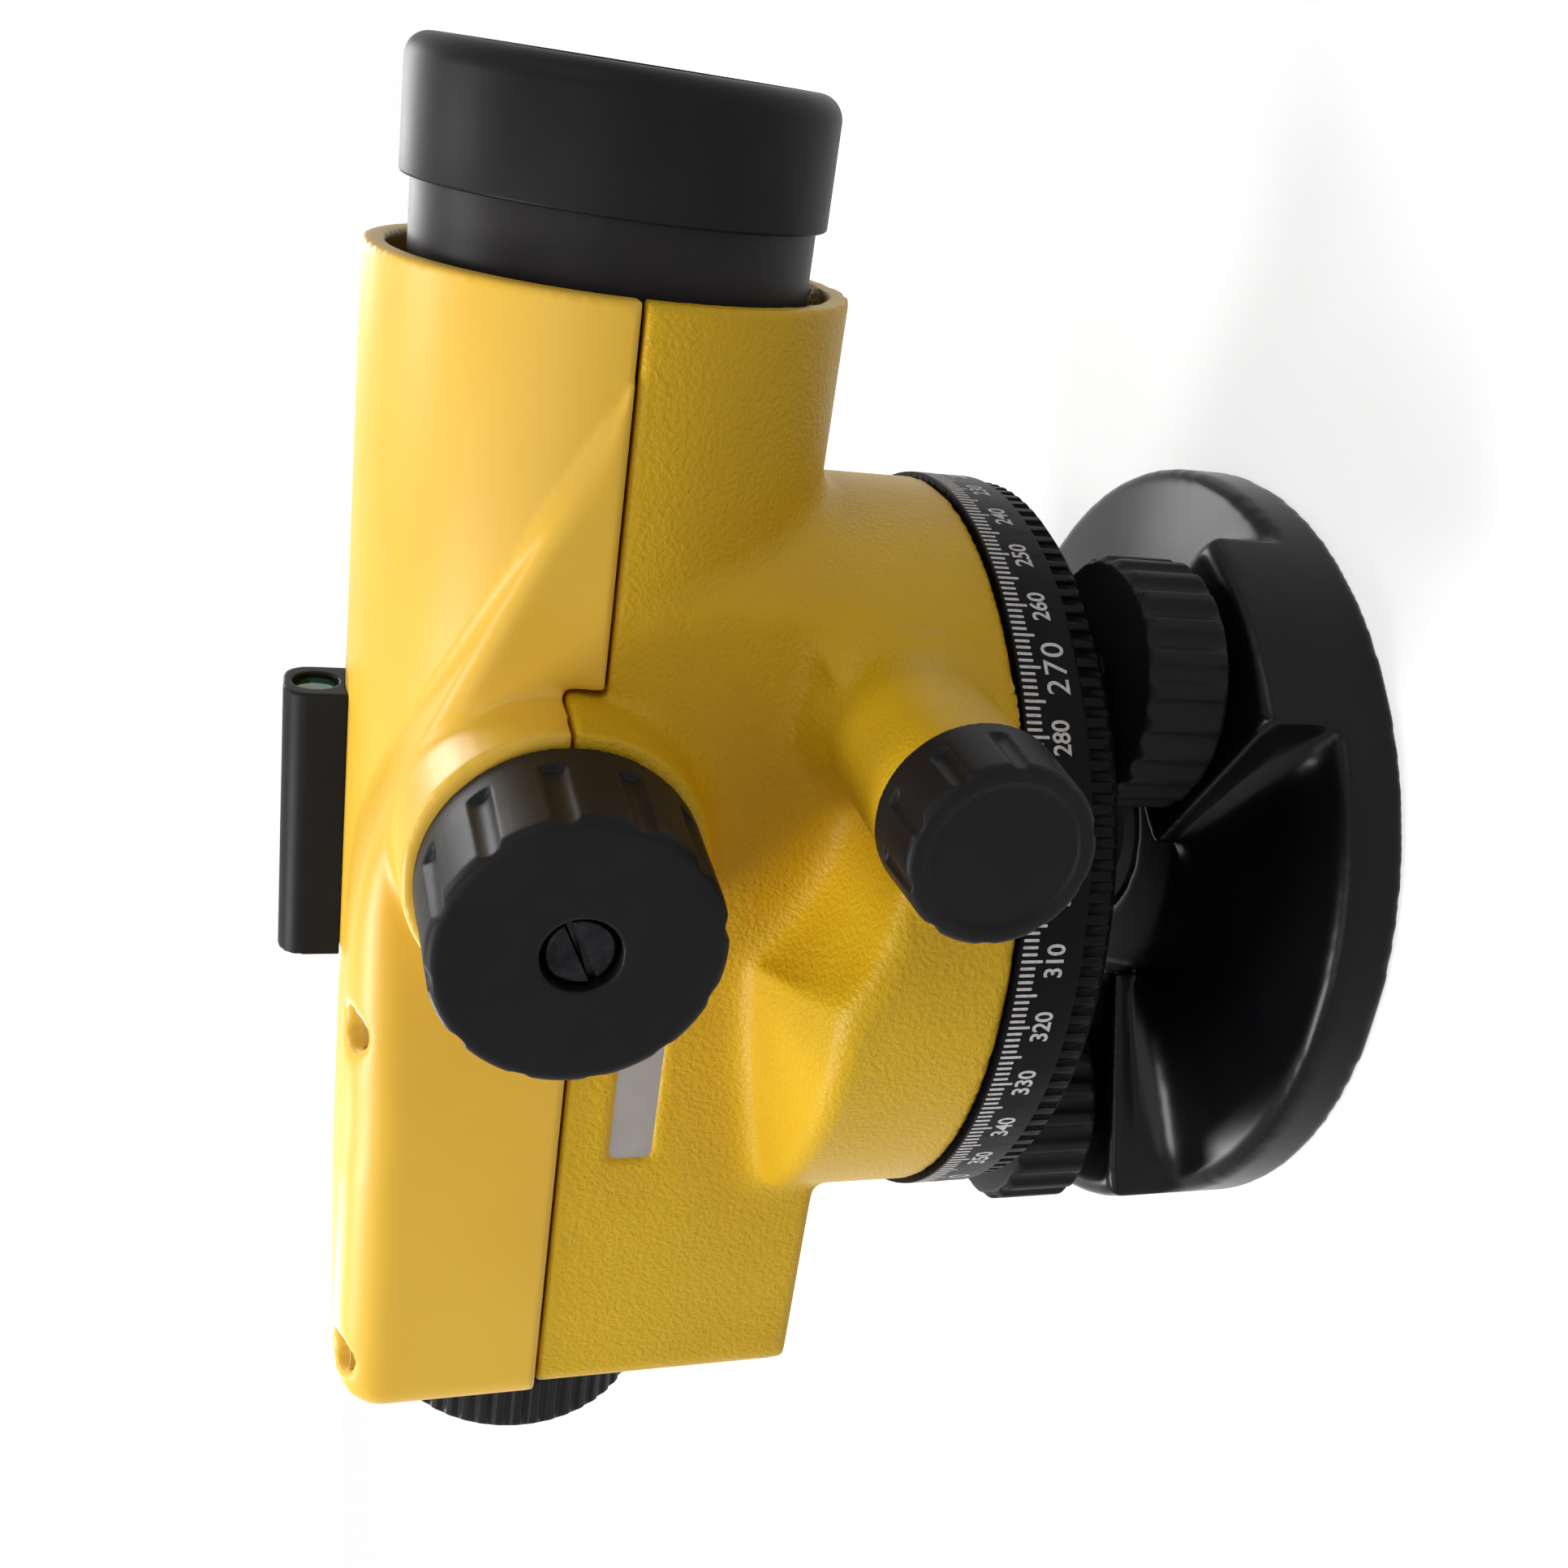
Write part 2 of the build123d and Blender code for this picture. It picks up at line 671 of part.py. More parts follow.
# Drum and lower half of the telescope housing
with BuildPart() as lower_body:
    with BuildSketch(Plane.XZ):
        Polygon(
            (0, drum_bottom_z),
            (drum_r, drum_bottom_z),
            (drum_r, drum_edge_z),
            (shoulder_r, shoulder_z),
            (0, shoulder_z),
            align=None,
        )
    revolve(axis=Axis.Z)
    fillet(lower_body.edges().filter_by(GeomType.CIRCLE).group_by(Axis.Z)[-2], drum_edge_r)
    with BuildSketch(Plane.XZ.offset(tube_r)):
        with Locations((scoop_x, scoop_bottom_z + scoop_r)):
            Circle(scoop_r)
    extrude(amount=drum_r, mode=Mode.SUBTRACT)
    with BuildSketch(Plane.XY.offset(drum_edge_z - 2 * wall)):
        Circle(drum_r - seat_gap)
        Rectangle(2 * drum_r, 2 * tube_r, mode=Mode.INTERSECT)
    extrude(amount=body_top_z - drum_edge_z + 2 * wall)
    with BuildSketch(Plane.XY.offset(body_bottom_z)):
        with Locations((body_rear_x / 2, 0)):
            RectangleRounded(-body_rear_x, 2 * tube_r, body_corner_r)
        with Locations((-drum_r / 4, 0)):
            Rectangle(drum_r / 2, 2 * tube_r)
    extrude(amount=body_top_z - body_bottom_z)
    with BuildSketch(Plane.YZ.offset(bulkhead_x - cut_over)):
        with Locations((0, axis_z)):
            Circle(tube_r)
        with Locations((0, axis_z + tube_r)):
            Rectangle(2 * tube_r, 2 * (axis_z + tube_r - body_top_z), mode=Mode.SUBTRACT)
    extrude(amount=tube_front_x - bulkhead_x + cut_over)
    with BuildSketch(Plane.XZ.offset(inner_half)):
        with Locations((focus_x, focus_z)):
            Circle(boss_r)
    extrude(amount=boss_y - inner_half, taper=boss_taper)
    for side in (1, -1):
        with BuildSketch(Plane.XZ.offset(side * drive_boss_root_y)):
            with Locations((drive_x, drive_z)):
                Circle(drive_boss_root_r)
        with BuildSketch(Plane.XZ.offset(side * drive_boss_y)):
            with Locations((drive_x, drive_z)):
                Circle(drive_boss_tip_r)
        loft()
    with BuildSketch(Plane.XY.offset(level_pad_z - level_pad_r)):
        with Locations((level_x, level_y)):
            Circle(level_pad_r)
    extrude(amount=level_pad_r)
    with BuildSketch(Plane.XY.offset(level_pad_z)):
        with Locations((level_x, level_y)):
            Circle(level_pad_r + body_gap / 2)
    extrude(amount=level_pad_r, mode=Mode.SUBTRACT)
    with BuildSketch(Plane.XY.offset(level_pad_z - level_screw_bite)):
        with Locations(*level_screw_points):
            Circle(level_screw_r)
    extrude(amount=level_screw_bite, mode=Mode.SUBTRACT)
    # Trim what the bosses leave below the drum and above the parting line
    with BuildSketch(Plane.XY.offset(drum_bottom_z - drive_boss_root_r)):
        Rectangle(4 * drum_r, 4 * drum_r)
    extrude(amount=drive_boss_root_r, mode=Mode.SUBTRACT)
    with BuildSketch(Plane.XY.offset(focus_z - part_gap / 2)):
        Rectangle(4 * drum_r, 4 * drum_r)
    extrude(amount=2 * boss_r, mode=Mode.SUBTRACT)
    # Telescope chamber
    with BuildSketch(Plane.XY.offset(floor_z)):
        with Locations((rear_floor_x + drum_r, 0)):
            Rectangle(2 * drum_r, 2 * inner_half)
        Circle(drum_r - wall, mode=Mode.INTERSECT)
        with Locations((rear_floor_x / 2, 0)):
            Rectangle(-rear_floor_x, 2 * inner_half)
    extrude(amount=focus_z - floor_z, mode=Mode.SUBTRACT)
    with BuildSketch(Plane.XY.offset(body_bottom_z + wall)):
        with Locations(((body_rear_x + wall + rear_floor_x) / 2, 0)):
            Rectangle(rear_floor_x - body_rear_x - wall, 2 * inner_half)
    extrude(amount=focus_z - body_bottom_z, mode=Mode.SUBTRACT)
    with BuildSketch(Plane.YZ.offset(bulkhead_x - cut_over)):
        with Locations((0, axis_z)):
            Circle(inner_r)
    extrude(amount=tube_front_x, mode=Mode.SUBTRACT)
    # Drum cavity with its pockets for the worm wheel, worm and spindle flange
    with BuildSketch(Plane.XY.offset(drum_bottom_z)):
        Circle(drum_r - cavity_wall)
    extrude(amount=cavity_top_z - drum_bottom_z, mode=Mode.SUBTRACT)
    with BuildSketch(Plane.XY.offset(drum_bottom_z)):
        Circle(wheel_r + worm_room)
        with Locations((drive_x, 0)):
            Rectangle(2 * (worm_r + worm_room), worm_len + 2 * worm_room)
    extrude(amount=spindle_flange_z - drum_bottom_z, mode=Mode.SUBTRACT)
    with BuildSketch(Plane.XY.offset(drum_bottom_z)):
        Circle(frame_boss_r + seat_gap)
    extrude(amount=floor_z - drum_bottom_z, mode=Mode.SUBTRACT)
    # Bores for the drive shaft and the focus shaft
    with BuildSketch(Plane.XZ.offset(-drive_boss_y)):
        with Locations((drive_x, drive_z)):
            Circle(drive_shaft_r + body_gap)
    extrude(amount=2 * drive_boss_y, mode=Mode.SUBTRACT)
    for side in (1, -1):
        with BuildSketch(Plane.XZ.offset(side * (drive_boss_y - drive_bush_len))):
            with Locations((drive_x, drive_z)):
                Circle(drive_bush_r + seat_gap)
        extrude(amount=side * drive_bush_len, mode=Mode.SUBTRACT)
    with BuildSketch(Plane.XZ.offset(inner_half)):
        with Locations((focus_x, focus_z)):
            Circle(focus_bush_r + seat_gap)
    extrude(amount=boss_y - inner_half, mode=Mode.SUBTRACT)
    # Opening for the eyepiece tube
    with BuildSketch(Plane.YZ.offset(body_rear_x)):
        with Locations((0, axis_z)):
            Circle(eye_hole_r)
    extrude(amount=wall, mode=Mode.SUBTRACT)
    # Posts under the cover's screws
    with BuildSketch(Plane.XY.offset(body_bottom_z + wall)):
        with Locations(*post_points[:2]):
            Circle(post_r)
    extrude(amount=post_top_z - body_bottom_z - wall)
    with BuildSketch(Plane.XY.offset(floor_z)):
        with Locations(*post_points[2:]):
            Circle(post_r)
    extrude(amount=post_top_z - floor_z)
    with BuildSketch(Plane.XY.offset(post_top_z - cover_screw_bite)):
        with Locations(*cover_screw_points):
            Circle(cover_screw_r)
    extrude(amount=cover_screw_bite, mode=Mode.SUBTRACT)
    # Recess for the number plate
    with BuildSketch(Plane.XZ.offset(tube_r - plate_recess)):
        with Locations((plate_x, plate_z)):
            Rectangle(plate_len, plate_h)
    extrude(amount=2 * plate_recess, mode=Mode.SUBTRACT)
lower_body.part.label = "lower_body"
export_step(lower_body.part, "parts/lower_body.step")

# Upper half of the telescope housing: a box that runs forward into the tube along a falling crest
with BuildPart() as top_cover:
    with BuildSketch(Plane.XY.offset(cover_bottom_z)):
        with Locations(((cover_rear_x + crest_rear_x) / 2, 0)):
            Rectangle(crest_rear_x - cover_rear_x, 2 * cover_half)
    extrude(amount=cover_top_z - cover_bottom_z)
    fillet(top_cover.edges().filter_by(Axis.Z).group_by(Axis.X)[0], cover_rear_r)
    fillet(top_cover.faces().sort_by(Axis.Z)[-1].edges().filter_by(Axis.X), cover_edge_r)
    for crest_x, crest_share, crest_r in crest_sections:
        crest_h = crest_share * (cover_top_z - cover_bottom_z)
        with BuildSketch(Plane.YZ.offset(crest_x)) as crest_section:
            with Locations((0, cover_bottom_z + crest_h / 2)):
                Rectangle(2 * cover_half, crest_h)
            fillet(crest_section.vertices().group_by(Axis.Y)[-1], crest_r)
    loft()
    with BuildSketch(Plane.YZ.offset(tube_start_x)):
        with Locations((0, axis_z)):
            Circle(tube_r)
        with Locations((0, axis_z - tube_r)):
            Rectangle(2 * tube_r, 2 * (cover_bottom_z - axis_z + tube_r), mode=Mode.SUBTRACT)
    extrude(amount=tube_front_x - tube_start_x)
    with BuildSketch(Plane.XZ.offset(inner_half)):
        with Locations((focus_x, focus_z)):
            Circle(boss_r)
    extrude(amount=boss_y - inner_half, taper=boss_taper)
    # Room for the lower half of the focus boss, which belongs to the lower body
    with BuildSketch(Plane.XZ.offset(inner_half)):
        with Locations((focus_x, focus_z - boss_r)):
            Rectangle(2 * (boss_r + part_gap), 2 * boss_r + part_gap)
    extrude(amount=boss_len + wall, mode=Mode.SUBTRACT)
    # Hollow under the roof
    with BuildSketch(Plane.XZ.offset(-inner_half)) as cover_inside:
        with BuildLine():
            Polyline(
                (cavity_tip_x, cover_bottom_z),
                (cover_rear_x + wall, cover_bottom_z),
                (cover_rear_x + wall, cover_top_z - wall),
                (cavity_crest_x, cover_top_z - wall),
            )
            Spline(
                (cavity_crest_x, cover_top_z - wall),
                (cavity_mid_x, cover_bottom_z + cavity_mid_share * (cover_top_z - cover_bottom_z)),
                (cavity_tip_x, cover_bottom_z),
                tangents=[(1, 0), (1, -cavity_slope)],
            )
        make_face()
    extrude(amount=2 * inner_half, mode=Mode.SUBTRACT)
    with BuildSketch(Plane.YZ.offset(tube_start_x)):
        with Locations((0, axis_z)):
            Circle(inner_r)
    extrude(amount=tube_front_x - tube_start_x + cut_over, mode=Mode.SUBTRACT)
    with BuildSketch(Plane.YZ.offset(cover_rear_x)):
        with Locations((0, axis_z)):
            Circle(eye_hole_r)
    extrude(amount=wall, mode=Mode.SUBTRACT)
    with BuildSketch(Plane.XZ.offset(inner_half)):
        with Locations((focus_x, focus_z)):
            Circle(focus_bush_r + seat_gap)
    extrude(amount=boss_y - inner_half, mode=Mode.SUBTRACT)
    # Posts, bores and pockets of the four cover screws
    with BuildSketch(Plane.XY.offset(post_top_z)):
        with Locations(*post_points):
            Circle(post_r)
    extrude(amount=cover_top_z - wall - post_top_z)
    with BuildSketch(Plane.XY.offset(post_top_z)):
        with Locations(*cover_screw_points):
            Circle(cover_screw_r)
    extrude(amount=cover_top_z - post_top_z, mode=Mode.SUBTRACT)
    with BuildSketch(Plane.XY.offset(cover_recess_z)):
        with Locations(*cover_screw_points):
            Circle(cover_pocket_r)
    extrude(amount=cover_pocket_depth + cut_over, mode=Mode.SUBTRACT)
top_cover.part.label = "top_cover"
export_step(top_cover.part, "parts/top_cover.step")

# Screws of the cover, sunk in pockets on its top edges
with BuildPart() as cover_screws:
    with BuildSketch(Plane.XY.offset(post_top_z - cover_screw_bite + cover_screw_end_gap)):
        with Locations(*cover_screw_points):
            Circle(cover_screw_r - seat_gap)
    extrude(amount=cover_recess_z - post_top_z + cover_screw_bite - cover_screw_end_gap)
    with BuildSketch(Plane.XY.offset(cover_recess_z)):
        with Locations(*cover_screw_points):
            Circle(cover_screw_head_r)
            Rectangle(cover_screw_head_r, cover_screw_slot, mode=Mode.SUBTRACT)
            Rectangle(cover_screw_slot, cover_screw_head_r, mode=Mode.SUBTRACT)
    extrude(amount=cover_screw_head_h)
cover_screws.part.label = "cover_screws"
export_step(cover_screws.part, "parts/cover_screws.step")

# Inner frame: foot on the spindle, plate, bulkheads and the cradles of the focusing tube
with BuildPart() as inner_frame:
    with BuildSketch(Plane.XY.offset(floor_z)):
        with Locations(((frame_rear_x + bulkhead_x) / 2, 0)):
            Rectangle(bulkhead_x - frame_rear_x, 2 * frame_half_w)
    extrude(amount=frame_plate_h)
    with BuildSketch(Plane.XY.offset(frame_z)):
        Circle(frame_boss_r)
    extrude(amount=floor_z - frame_z)
    with BuildSketch(Plane.YZ.offset(bulkhead_x)):
        with Locations((0, axis_z)):
            Circle(bulkhead_r)
        with Locations((0, floor_z - bulkhead_r)):
            Rectangle(2 * bulkhead_r, 2 * bulkhead_r, mode=Mode.SUBTRACT)
        with Locations((0, axis_z)):
            Circle(light_r, mode=Mode.SUBTRACT)
    extrude(amount=objective_tube_x - bulkhead_x)
    with BuildSketch(Plane.YZ.offset(objective_tube_x)):
        with Locations((0, axis_z)):
            Circle(objective_bore_r - seat_gap)
            Circle(light_r, mode=Mode.SUBTRACT)
    extrude(amount=spigot_len)
    with BuildSketch(Plane.XZ.offset(-cradle_half_w)):
        for x in (guide_rear_x + cradle_w, guide_rear_x + guide_len - cradle_w):
            with Locations((x, (plate_top_z + cradle_top_z) / 2)):
                Rectangle(cradle_w, cradle_top_z - plate_top_z)
    extrude(amount=2 * cradle_half_w)
    with BuildSketch(Plane.YZ.offset(guide_rear_x)):
        with Locations((0, axis_z)):
            Circle(guide_r + seat_gap)
    extrude(amount=guide_len, mode=Mode.SUBTRACT)
    with BuildSketch(Plane.YZ.offset(mount_wall_x)):
        with Locations((0, axis_z)):
            Rectangle(2 * mount_half_w, 2 * mount_half_w)
        with Locations((0, (floor_z + axis_z) / 2)):
            Rectangle(2 * mount_half_w, axis_z - floor_z)
        with Locations((0, axis_z)):
            Circle(eye_tube_r + seat_gap, mode=Mode.SUBTRACT)
    extrude(amount=mount_wall_w)
    with BuildSketch(Plane.XY.offset(plate_top_z)):
        with Locations(*frame_screw_points):
            Circle(screw_r)
    extrude(amount=-(plate_top_z - spindle_flange_z), mode=Mode.SUBTRACT)
inner_frame.part.label = "inner_frame"
export_step(inner_frame.part, "parts/inner_frame.step")

# Screws that join the frame to the spindle's flange
with BuildPart() as frame_screws:
    with BuildSketch(Plane.XY.offset(frame_z)):
        with Locations(*frame_screw_points):
            Circle(screw_r - seat_gap)
    extrude(amount=plate_top_z - frame_z)
    with BuildSketch(Plane.XY.offset(plate_top_z)):
        with Locations(*frame_screw_points):
            Circle(screw_head_r)
            RegularPolygon(screw_hex_r, 6, mode=Mode.SUBTRACT)
    extrude(amount=screw_head_h)
frame_screws.part.label = "frame_screws"
export_step(frame_screws.part, "parts/frame_screws.step")

# Objective tube, from the front bulkhead into the hood
with BuildPart() as objective_tube:
    with BuildSketch(Plane.YZ.offset(objective_tube_x)):
        with Locations((0, axis_z)):
            Circle(objective_tube_r)
            Circle(objective_bore_r, mode=Mode.SUBTRACT)
    extrude(amount=objective_tube_end_x - objective_tube_x)
objective_tube.part.label = "objective_tube"
export_step(objective_tube.part, "parts/objective_tube.step")

# Hood that slips over the tube's end
with BuildPart() as objective_hood:
    with BuildSketch(Plane.YZ.offset(hood_rear_x)):
        with Locations((0, axis_z)):
            Circle(hood_r)
    extrude(amount=hood_front_x - hood_rear_x)
    fillet(objective_hood.edges().sort_by(Axis.X)[-1], hood_front_edge_r)
    fillet(objective_hood.edges().sort_by(Axis.X)[0], hood_rear_edge_r)
    with BuildSketch(Plane.YZ.offset(hood_rear_x)):
        with Locations((0, axis_z)):
            Circle(objective_tube_r + seat_gap)
    extrude(amount=objective_tube_end_x - hood_rear_x, mode=Mode.SUBTRACT)
    with BuildSketch(Plane.YZ.offset(hood_rear_x)):
        with Locations((0, axis_z)):
            Circle(hood_lip_r)
    extrude(amount=hood_front_x - hood_rear_x, mode=Mode.SUBTRACT)
objective_hood.part.label = "objective_hood"
export_step(objective_hood.part, "parts/objective_hood.step")

# Cell, glasses and screwed ring of the objective
with BuildPart() as objective_cell:
    with BuildSketch(Plane.YZ.offset(cell_rear_x)):
        with Locations((0, axis_z)):
            Circle(objective_bore_r - seat_gap)
            Circle(lens_r - lens_seat, mode=Mode.SUBTRACT)
    extrude(amount=cell_front_x - cell_rear_x)
    with BuildSketch(Plane.YZ.offset(lens_rear_x)):
        with Locations((0, axis_z)):
            Circle(lens_r + seat_gap)
    extrude(amount=cell_front_x - lens_rear_x, mode=Mode.SUBTRACT)
objective_cell.part.label = "objective_cell"
export_step(objective_cell.part, "parts/objective_cell.step")

with BuildPart() as objective_lenses:
    with BuildSketch(Plane.XZ):
        with BuildLine():
            ThreePointArc(
                (lens_joint_x, axis_z + lens_r),
                (lens_joint_x - lens_sag, axis_z),
                (lens_joint_x, axis_z - lens_r),
            )
            Polyline(
                (lens_joint_x, axis_z - lens_r),
                (lens_rear_x, axis_z - lens_r),
                (lens_rear_x, axis_z + lens_r),
                (lens_joint_x, axis_z + lens_r),
            )
        make_face()
        with Locations((lens_joint_x, axis_z - lens_r)):
            Rectangle(2 * lens_r, 2 * lens_r, mode=Mode.SUBTRACT)
    revolve(axis=Axis((0, 0, axis_z), (1, 0, 0)))
    with BuildSketch(Plane.XZ):
        with BuildLine():
            ThreePointArc(
                (lens_joint_x + lens_air, axis_z - lens_r),
                (lens_joint_x + lens_air - lens_sag, axis_z),
                (lens_joint_x + lens_air, axis_z + lens_r),
            )
            Line((lens_joint_x + lens_air, axis_z + lens_r), (lens_front_x - lens_sag, axis_z + lens_r))
            ThreePointArc(
                (lens_front_x - lens_sag, axis_z + lens_r),
                (lens_front_x, axis_z),
                (lens_front_x - lens_sag, axis_z - lens_r),
            )
            Line((lens_front_x - lens_sag, axis_z - lens_r), (lens_joint_x + lens_air, axis_z - lens_r))
        make_face()
        with Locations((lens_joint_x, axis_z - lens_r)):
            Rectangle(2 * lens_r, 2 * lens_r, mode=Mode.SUBTRACT)
    revolve(axis=Axis((0, 0, axis_z), (1, 0, 0)))
objective_lenses.part.label = "objective_lenses"
export_step(objective_lenses.part, "parts/objective_lenses.step")

with BuildPart() as objective_ring:
    with BuildSketch(Plane.YZ.offset(lens_ring_x)):
        with Locations((0, axis_z)):
            Circle(lens_r)
            Circle(lens_r - lens_seat, mode=Mode.SUBTRACT)
    extrude(amount=cell_front_x - lens_ring_x)
objective_ring.part.label = "objective_ring"
export_step(objective_ring.part, "parts/objective_ring.step")

# Rubber ring between the housing's mouth and the objective tube
with BuildPart() as front_seal:
    with BuildSketch(Plane.YZ.offset(seal_x)):
        with Locations((0, axis_z)):
            Circle(inner_r - seat_gap)
            Circle(objective_tube_r + seat_gap, mode=Mode.SUBTRACT)
    extrude(amount=seal_w)
front_seal.part.label = "front_seal"
export_step(front_seal.part, "parts/front_seal.step")

# Guide tube of the focusing lens, slotted on the knob's side for the rack's arm
with BuildPart() as focus_guide:
    with BuildSketch(Plane.YZ.offset(guide_rear_x)):
        with Locations((0, axis_z)):
            Circle(guide_r)
            Circle(guide_bore_r, mode=Mode.SUBTRACT)
    extrude(amount=guide_len)
    with BuildSketch(Plane.XZ.offset(guide_bore_r / 2)):
        with Locations((guide_mid_x, rack_top_z - rack_h / 2)):
            Rectangle(2 * rack_travel + rack_arm_len + rack_arm_clear, rack_arm_h + 2 * body_gap)
    extrude(amount=guide_r, mode=Mode.SUBTRACT)
focus_guide.part.label = "focus_guide"
export_step(focus_guide.part, "parts/focus_guide.step")

# Sliding cell, its lens and the rack beside it
with BuildPart() as focusing_cell:
    with BuildSketch(Plane.YZ.offset(guide_mid_x - cell_len / 2)):
        with Locations((0, axis_z)):
            Circle(guide_bore_r - run_gap)
    extrude(amount=cell_len)
    with BuildSketch(Plane.XZ.offset(focus_lens_r)):
        with Locations((guide_mid_x, rack_top_z - rack_h / 2)):
            Rectangle(rack_arm_len, rack_arm_h)
    extrude(amount=-rack_y - focus_lens_r)
    with BuildSketch(Plane.YZ.offset(guide_mid_x - cell_len / 2)):
        with Locations((0, axis_z)):
            Circle(focus_lens_r + seat_gap)
    extrude(amount=cell_len, mode=Mode.SUBTRACT)
focusing_cell.part.label = "focusing_cell"
export_step(focusing_cell.part, "parts/focusing_cell.step")

with BuildPart() as focusing_lens:
    with BuildSketch(Plane.XZ):
        with BuildLine():
            ThreePointArc(
                (guide_mid_x - focus_lens_t, axis_z - focus_lens_r),
                (guide_mid_x - focus_lens_t / 2, axis_z),
                (guide_mid_x - focus_lens_t, axis_z + focus_lens_r),
            )
            Line(
                (guide_mid_x - focus_lens_t, axis_z + focus_lens_r),
                (guide_mid_x + focus_lens_t, axis_z + focus_lens_r),
            )
            ThreePointArc(
                (guide_mid_x + focus_lens_t, axis_z + focus_lens_r),
                (guide_mid_x + focus_lens_t / 2, axis_z),
                (guide_mid_x + focus_lens_t, axis_z - focus_lens_r),
            )
            Line(
                (guide_mid_x + focus_lens_t, axis_z - focus_lens_r),
                (guide_mid_x - focus_lens_t, axis_z - focus_lens_r),
            )
        make_face()
        with Locations((guide_mid_x, axis_z - focus_lens_r)):
            Rectangle(2 * focus_lens_r, 2 * focus_lens_r, mode=Mode.SUBTRACT)
    revolve(axis=Axis((0, 0, axis_z), (1, 0, 0)))
focusing_lens.part.label = "focusing_lens"
export_step(focusing_lens.part, "parts/focusing_lens.step")

with BuildPart() as focus_rack:
    with BuildSketch(Plane.XZ.offset(-rack_y)):
        with Locations((focus_x, rack_top_z - rack_h / 2)):
            Rectangle(rack_len, rack_h)
        with Locations((focus_x, rack_top_z)):
            with GridLocations(pinion_pitch, 1, int(rack_len / pinion_pitch), 1):
                Circle(pinion_tooth_r, mode=Mode.SUBTRACT)
    extrude(amount=rack_w)
focus_rack.part.label = "focus_rack"
export_step(focus_rack.part, "parts/focus_rack.step")

# Focus shaft with its pinion, bush, knob and screw
with BuildPart() as focus_shaft:
    with BuildSketch(Plane.XZ.offset(-rack_y)):
        with Locations((focus_x, focus_z)):
            Circle(focus_shaft_r)
    extrude(amount=knob_y + knob_len - knob_recess_depth - knob_shaft_sink + rack_y)
focus_shaft.part.label = "focus_shaft"
export_step(focus_shaft.part, "parts/focus_shaft.step")

with BuildPart() as focus_pinion:
    with BuildSketch(Plane.XZ.offset(-rack_y)):
        with Locations((focus_x, focus_z)):
            Circle(pinion_r)
            with PolarLocations(pinion_r, pinion_teeth):
                Circle(pinion_tooth_r, mode=Mode.SUBTRACT)
            Circle(focus_shaft_r + seat_gap, mode=Mode.SUBTRACT)
    extrude(amount=rack_w)
focus_pinion.part.label = "focus_pinion"
export_step(focus_pinion.part, "parts/focus_pinion.step")

with BuildPart() as focus_bush:
    with BuildSketch(Plane.XZ.offset(inner_half)):
        with Locations((focus_x, focus_z)):
            Circle(focus_bush_r)
            Circle(focus_shaft_r + run_gap, mode=Mode.SUBTRACT)
    extrude(amount=boss_y - inner_half)
focus_bush.part.label = "focus_bush"
export_step(focus_bush.part, "parts/focus_bush.step")

with BuildPart() as focus_knob:
    with BuildSketch(Plane.XZ.offset(knob_y)):
        with Locations((focus_x, focus_z)):
            Circle(knob_back_r)
    extrude(amount=knob_len, taper=knob_taper)
    fillet(focus_knob.edges().sort_by(Axis.Y)[0], knob_edge_r)
    with BuildSketch(Plane.XZ.offset(knob_y + knob_len - knob_flute_len)):
        with Locations((focus_x, focus_z)):
            with PolarLocations(knob_back_r + knob_flute_r - knob_flute_depth, knob_flutes, knob_flute_turn):
                Circle(knob_flute_r)
    extrude(amount=knob_flute_len, taper=-knob_taper / 2, mode=Mode.SUBTRACT)
    with BuildSketch(Plane.XZ.offset(knob_y + knob_len - knob_recess_depth)):
        with Locations((focus_x, focus_z)):
            Circle(knob_recess_r)
    extrude(amount=knob_recess_depth, mode=Mode.SUBTRACT)
    with BuildSketch(Plane.XZ.offset(knob_y)):
        with Locations((focus_x, focus_z)):
            Circle(focus_shaft_r + seat_gap)
    extrude(amount=knob_len, mode=Mode.SUBTRACT)
focus_knob.part.label = "focus_knob"
export_step(focus_knob.part, "parts/focus_knob.step")

with BuildPart() as focus_knob_screw:
    with BuildSketch(Plane.XZ.offset(knob_y + knob_len - knob_recess_depth)):
        with Locations((focus_x, focus_z)):
            Circle(knob_recess_r - knob_screw_gap)
    extrude(amount=knob_recess_depth - knob_screw_sink)
    chamfer(focus_knob_screw.edges().sort_by(Axis.Y)[0], knob_screw_chamfer)
    with BuildSketch(Plane.XZ.offset(knob_y + knob_len - knob_screw_sink - knob_slot_depth)):
        with Locations(Location((focus_x, focus_z, 0), (0, 0, knob_slot_turn))):
            Rectangle(2 * knob_recess_r, knob_slot_w)
    extrude(amount=knob_slot_depth, mode=Mode.SUBTRACT)
focus_knob_screw.part.label = "focus_knob_screw"
export_step(focus_knob_screw.part, "parts/focus_knob_screw.step")

# Horizontal drive: shaft, worm, two bushes and a knob each side
with BuildPart() as drive_shaft:
    with BuildSketch(Plane.XZ.offset(-drive_knob_y - drive_knob_len + drive_knob_floor)):
        with Locations((drive_x, drive_z)):
            Circle(drive_shaft_r)
    extrude(amount=2 * (drive_knob_y + drive_knob_len - drive_knob_floor))
drive_shaft.part.label = "drive_shaft"
export_step(drive_shaft.part, "parts/drive_shaft.step")

